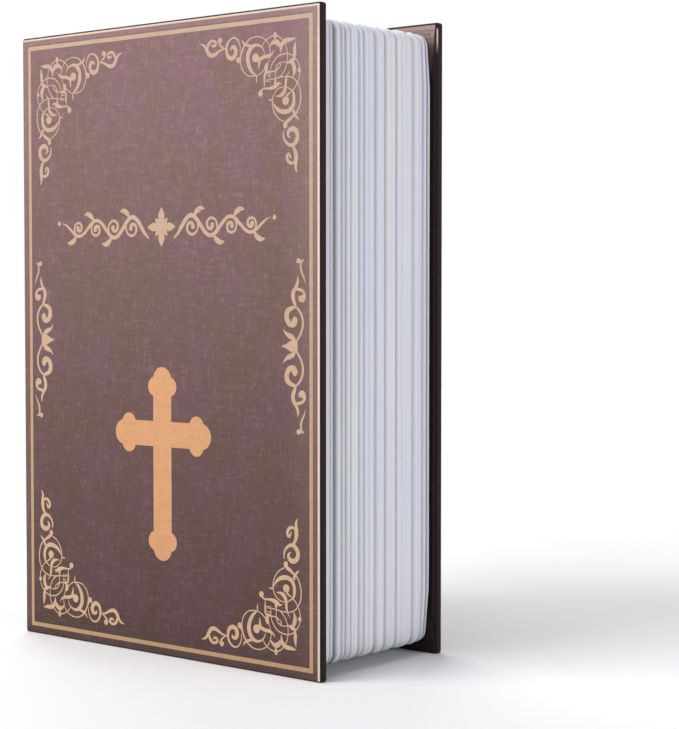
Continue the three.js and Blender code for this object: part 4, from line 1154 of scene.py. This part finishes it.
def arc(centre_radius, centre_y, size, start, end, steps=6):
    """Points on a small circle in the profile's plane, with angles in degrees from outwards towards +Y."""
    angle = np.radians(np.linspace(start, end, steps))
    return list(zip(centre_radius + size * np.cos(angle), centre_y + size * np.sin(angle)))


def lock_housing():
    """A closed profile carried round the axis: from the bore's end over the seat, round the lip, down the
    bulging bezel and its rim, along the threaded barrel and back to the bore. The thread is a triangle
    wave of the length minus the turn, and the flats cut z at a set distance."""
    share = np.linspace(0, 1, slope_steps)
    slope_radius = bezel_front_radius + (bezel_radius - bezel_ease - bezel_front_radius) * share
    slope_radius = slope_radius + bezel_bulge * np.sin(math.pi * share)
    slope_y = bezel_front + bezel_ease + (door_face - bezel_side - bezel_front - bezel_ease) * share
    inside = [(bore_radius, barrel_end), (bore_radius, seat_y), (seat_radius, seat_y)]
    lip = arc(seat_radius + lip_radius, bezel_front + lip_radius, lip_radius, -180, -60)
    rim = arc(bezel_radius - bezel_rim, door_face - 2 * bezel_rim, bezel_rim, -20, 0, 3)
    front = [*inside, *lip, *zip(slope_radius, slope_y), *rim, (bezel_radius, door_face)]
    thread_y = np.arange(door_face + thread_start, barrel_end, thread_pitch / 8)
    barrel_y = [door_face, door_face + plain_barrel, *thread_y]
    barrel = [(barrel_radius, y) for y in barrel_y]
    profile = [*front, *barrel, (barrel_radius - thread_depth, barrel_end)]
    points = turned(profile)
    first, last = len(front) + 2, len(profile) - 1
    phase = (points[:, first:last, 1] / thread_pitch - turn_angle / (2 * math.pi)) % 1
    radius = barrel_radius - thread_depth * np.abs(2 * phase - 1)
    points[:, first:last, 0] = lock_x + radius * np.cos(turn_angle)
    points[:, first:last, 2] = lock_z + radius * np.sin(turn_angle)
    behind = slice(len(front), None)
    points[:, behind, 2] = np.clip(points[:, behind, 2], lock_z - barrel_flat, lock_z + barrel_flat)
    rows, columns = points.shape[:2]
    points = points.reshape(-1, 3)
    return points, outward(points, grid_faces(rows, columns, True, True))


def chrome_plate():
    """Polished chrome with the faintest waviness and a few soft smudges."""
    finish = Finish("chrome_plate", Metallic=1.0)
    smudges = finish.noise(finish.place, 0.6, 3, 0.6)
    waves = finish.noise(finish.place, 0.8, 1)
    colour = smudges.rise(0.3, 0.8).between(ink(212, 215, 220), ink(196, 199, 204))
    finish.feed(Base_Color=colour, Roughness=0.05 + 0.12 * smudges.rise(0.45, 0.8))
    return finish.bump(waves, 0.01).material


chrome = chrome_plate()
mesh_piece("lock_housing_chromed", lock_housing(), chrome, "door", "lock_housing", 40)


# The plug turns in the housing. Its face is satin nickel, faced on a lathe, with a bow-tie keyway and a
# round lead-in for the key.
def satin_nickel():
    """Satin nickel with fine rings round the lock's axis, and soft grey clouds."""
    finish = Finish("satin_nickel", Metallic=1.0)
    groove_radius = 5.6
    across = finish.x - lock_x
    level = finish.z - lock_z
    radius = (across * across + level * level) ** 0.5
    rings = finish.noise(finish.point(radius * 9, finish.y * 0.5, 0.0), 1.0, 2)
    clouds = finish.noise(finish.place, 0.7, 3, 0.6)
    groove = abs(radius - groove_radius).fall(0.06, 0.2)
    colour = clouds.rise(0.3, 0.7).between(ink(168, 168, 165), ink(186, 186, 182))
    finish.feed(Base_Color=colour, Roughness=0.28 + 0.14 * clouds)
    return finish.bump(rings * 0.5 - 3 * groove, 0.03).material


eased("lock_plug", satin_nickel(), "lock_core", 0.12, 2)


# Behind the door a washer and a hexagon nut clamp the housing, and a flat cam is held on the plug's square
# end by a slotted screw. All are zinc plated.
eased("lock_washer", plated, "door", 0.15, 2)
eased("lock_nut", plated, "door", 0.25, 3)
eased("lock_cam", plated, "lock_core", 0.25, 3)
eased("cam_screw", plated, "lock_core", 0.12, 2)


# Four slotted screws, zinc plated, go through the tray's floor and hold it to the page block's floor rim,
# one near each corner.
for number in range(1, 5):
    eased(f"tray_screw_{number}", plated, "book_case", 0.12, 2)


# The stage isn't part of the book: a pale floor that fades to white away from it, a plain white surround
# that only the camera and gloss see at full strength, and four soft lamps.
floor_half = 4.0
floor_corners = ((-1, -1), (1, -1), (1, 1), (-1, 1))
fade_start = 140
fade_end = 330
white = (1, 1, 1, 1)
camera_ray = 0
glossy_ray = 3
transmission_ray = 6


def seen_by(start, *rays):
    """One for rays of the given kinds, which are outputs of the light path, and nought for the others."""
    kinds = [start.node("ShaderNodeLightPath", result=ray) for ray in rays]
    return sum(kinds[1:], kinds[0]).least(1.0)


def floor_paint():
    """Matt off-white near the book, and clear white for the camera far from it."""
    finish = Finish("floor_paint", Roughness=0.9, Specular_IOR_Level=0.2, Base_Color=ink(247, 247, 249))
    clear = finish.place.node("ShaderNodeEmission", {}, {"Color": white, "Strength": 1.0})
    distance = (finish.x * finish.x + finish.y * finish.y) ** 0.5
    far = distance.rise(fade_start, fade_end) * seen_by(finish.place, camera_ray, glossy_ray)
    own = Shade(finish.tree, finish.surface.outputs["BSDF"])
    mixed = own.node("ShaderNodeMixShader", {}, {0: far, 1: own, 2: clear})
    finish.tree.links.new(mixed.socket, finish.tree.nodes["Material Output"].inputs["Surface"])
    return finish.material


floor_mesh = bpy.data.meshes.new("floor")
floor_mesh.from_pydata([(x * floor_half, y * floor_half, 0) for x, y in floor_corners], [], [(0, 1, 2, 3)])
floor_mesh.materials.append(floor_paint())
floor = bpy.data.objects.new("floor", floor_mesh)
bpy.context.scene.collection.objects.link(floor)

surround_strength = 0.12
world = bpy.data.worlds.new("surround")
bpy.context.scene.world = world
world.use_nodes = True
start = Shade(world.node_tree, None)
seen = seen_by(start, camera_ray, glossy_ray, transmission_ray)
dim = start.node("ShaderNodeBackground", {}, {"Color": white, "Strength": surround_strength})
bright = start.node("ShaderNodeBackground", {}, {"Color": white, "Strength": 1.0})
surround = start.node("ShaderNodeMixShader", {}, {0: seen, 1: dim, 2: bright})
world.node_tree.links.new(surround.socket, world.node_tree.nodes["World Output"].inputs["Surface"])

lamp_target = np.array([0.0, 0.0, middle_z])


def lamp(name, place, size, power):
    """A square soft lamp that faces the book's middle."""
    data = bpy.data.lights.new(name, "AREA")
    data.shape = "SQUARE"
    data.size = size
    data.energy = power
    light = bpy.data.objects.new(name, data)
    light.location = place
    x, y, z = np.array(place) - lamp_target
    light.rotation_euler = (math.atan2(math.hypot(x, y), z), 0, math.atan2(y, x) + math.pi / 2)
    bpy.context.scene.collection.objects.link(light)


lamp("key_lamp", (-0.45, -0.95, 0.85), 0.9, 13.3)
lamp("side_lamp", (1.15, 0.15, 0.25), 0.5, 5.8)
lamp("top_lamp", (0.0, -0.15, 1.15), 0.6, 4.1)
lamp("back_lamp", (-0.7, 0.6, 0.8), 0.8, 6.2)

bpy.context.scene.view_settings.view_transform = "Standard"
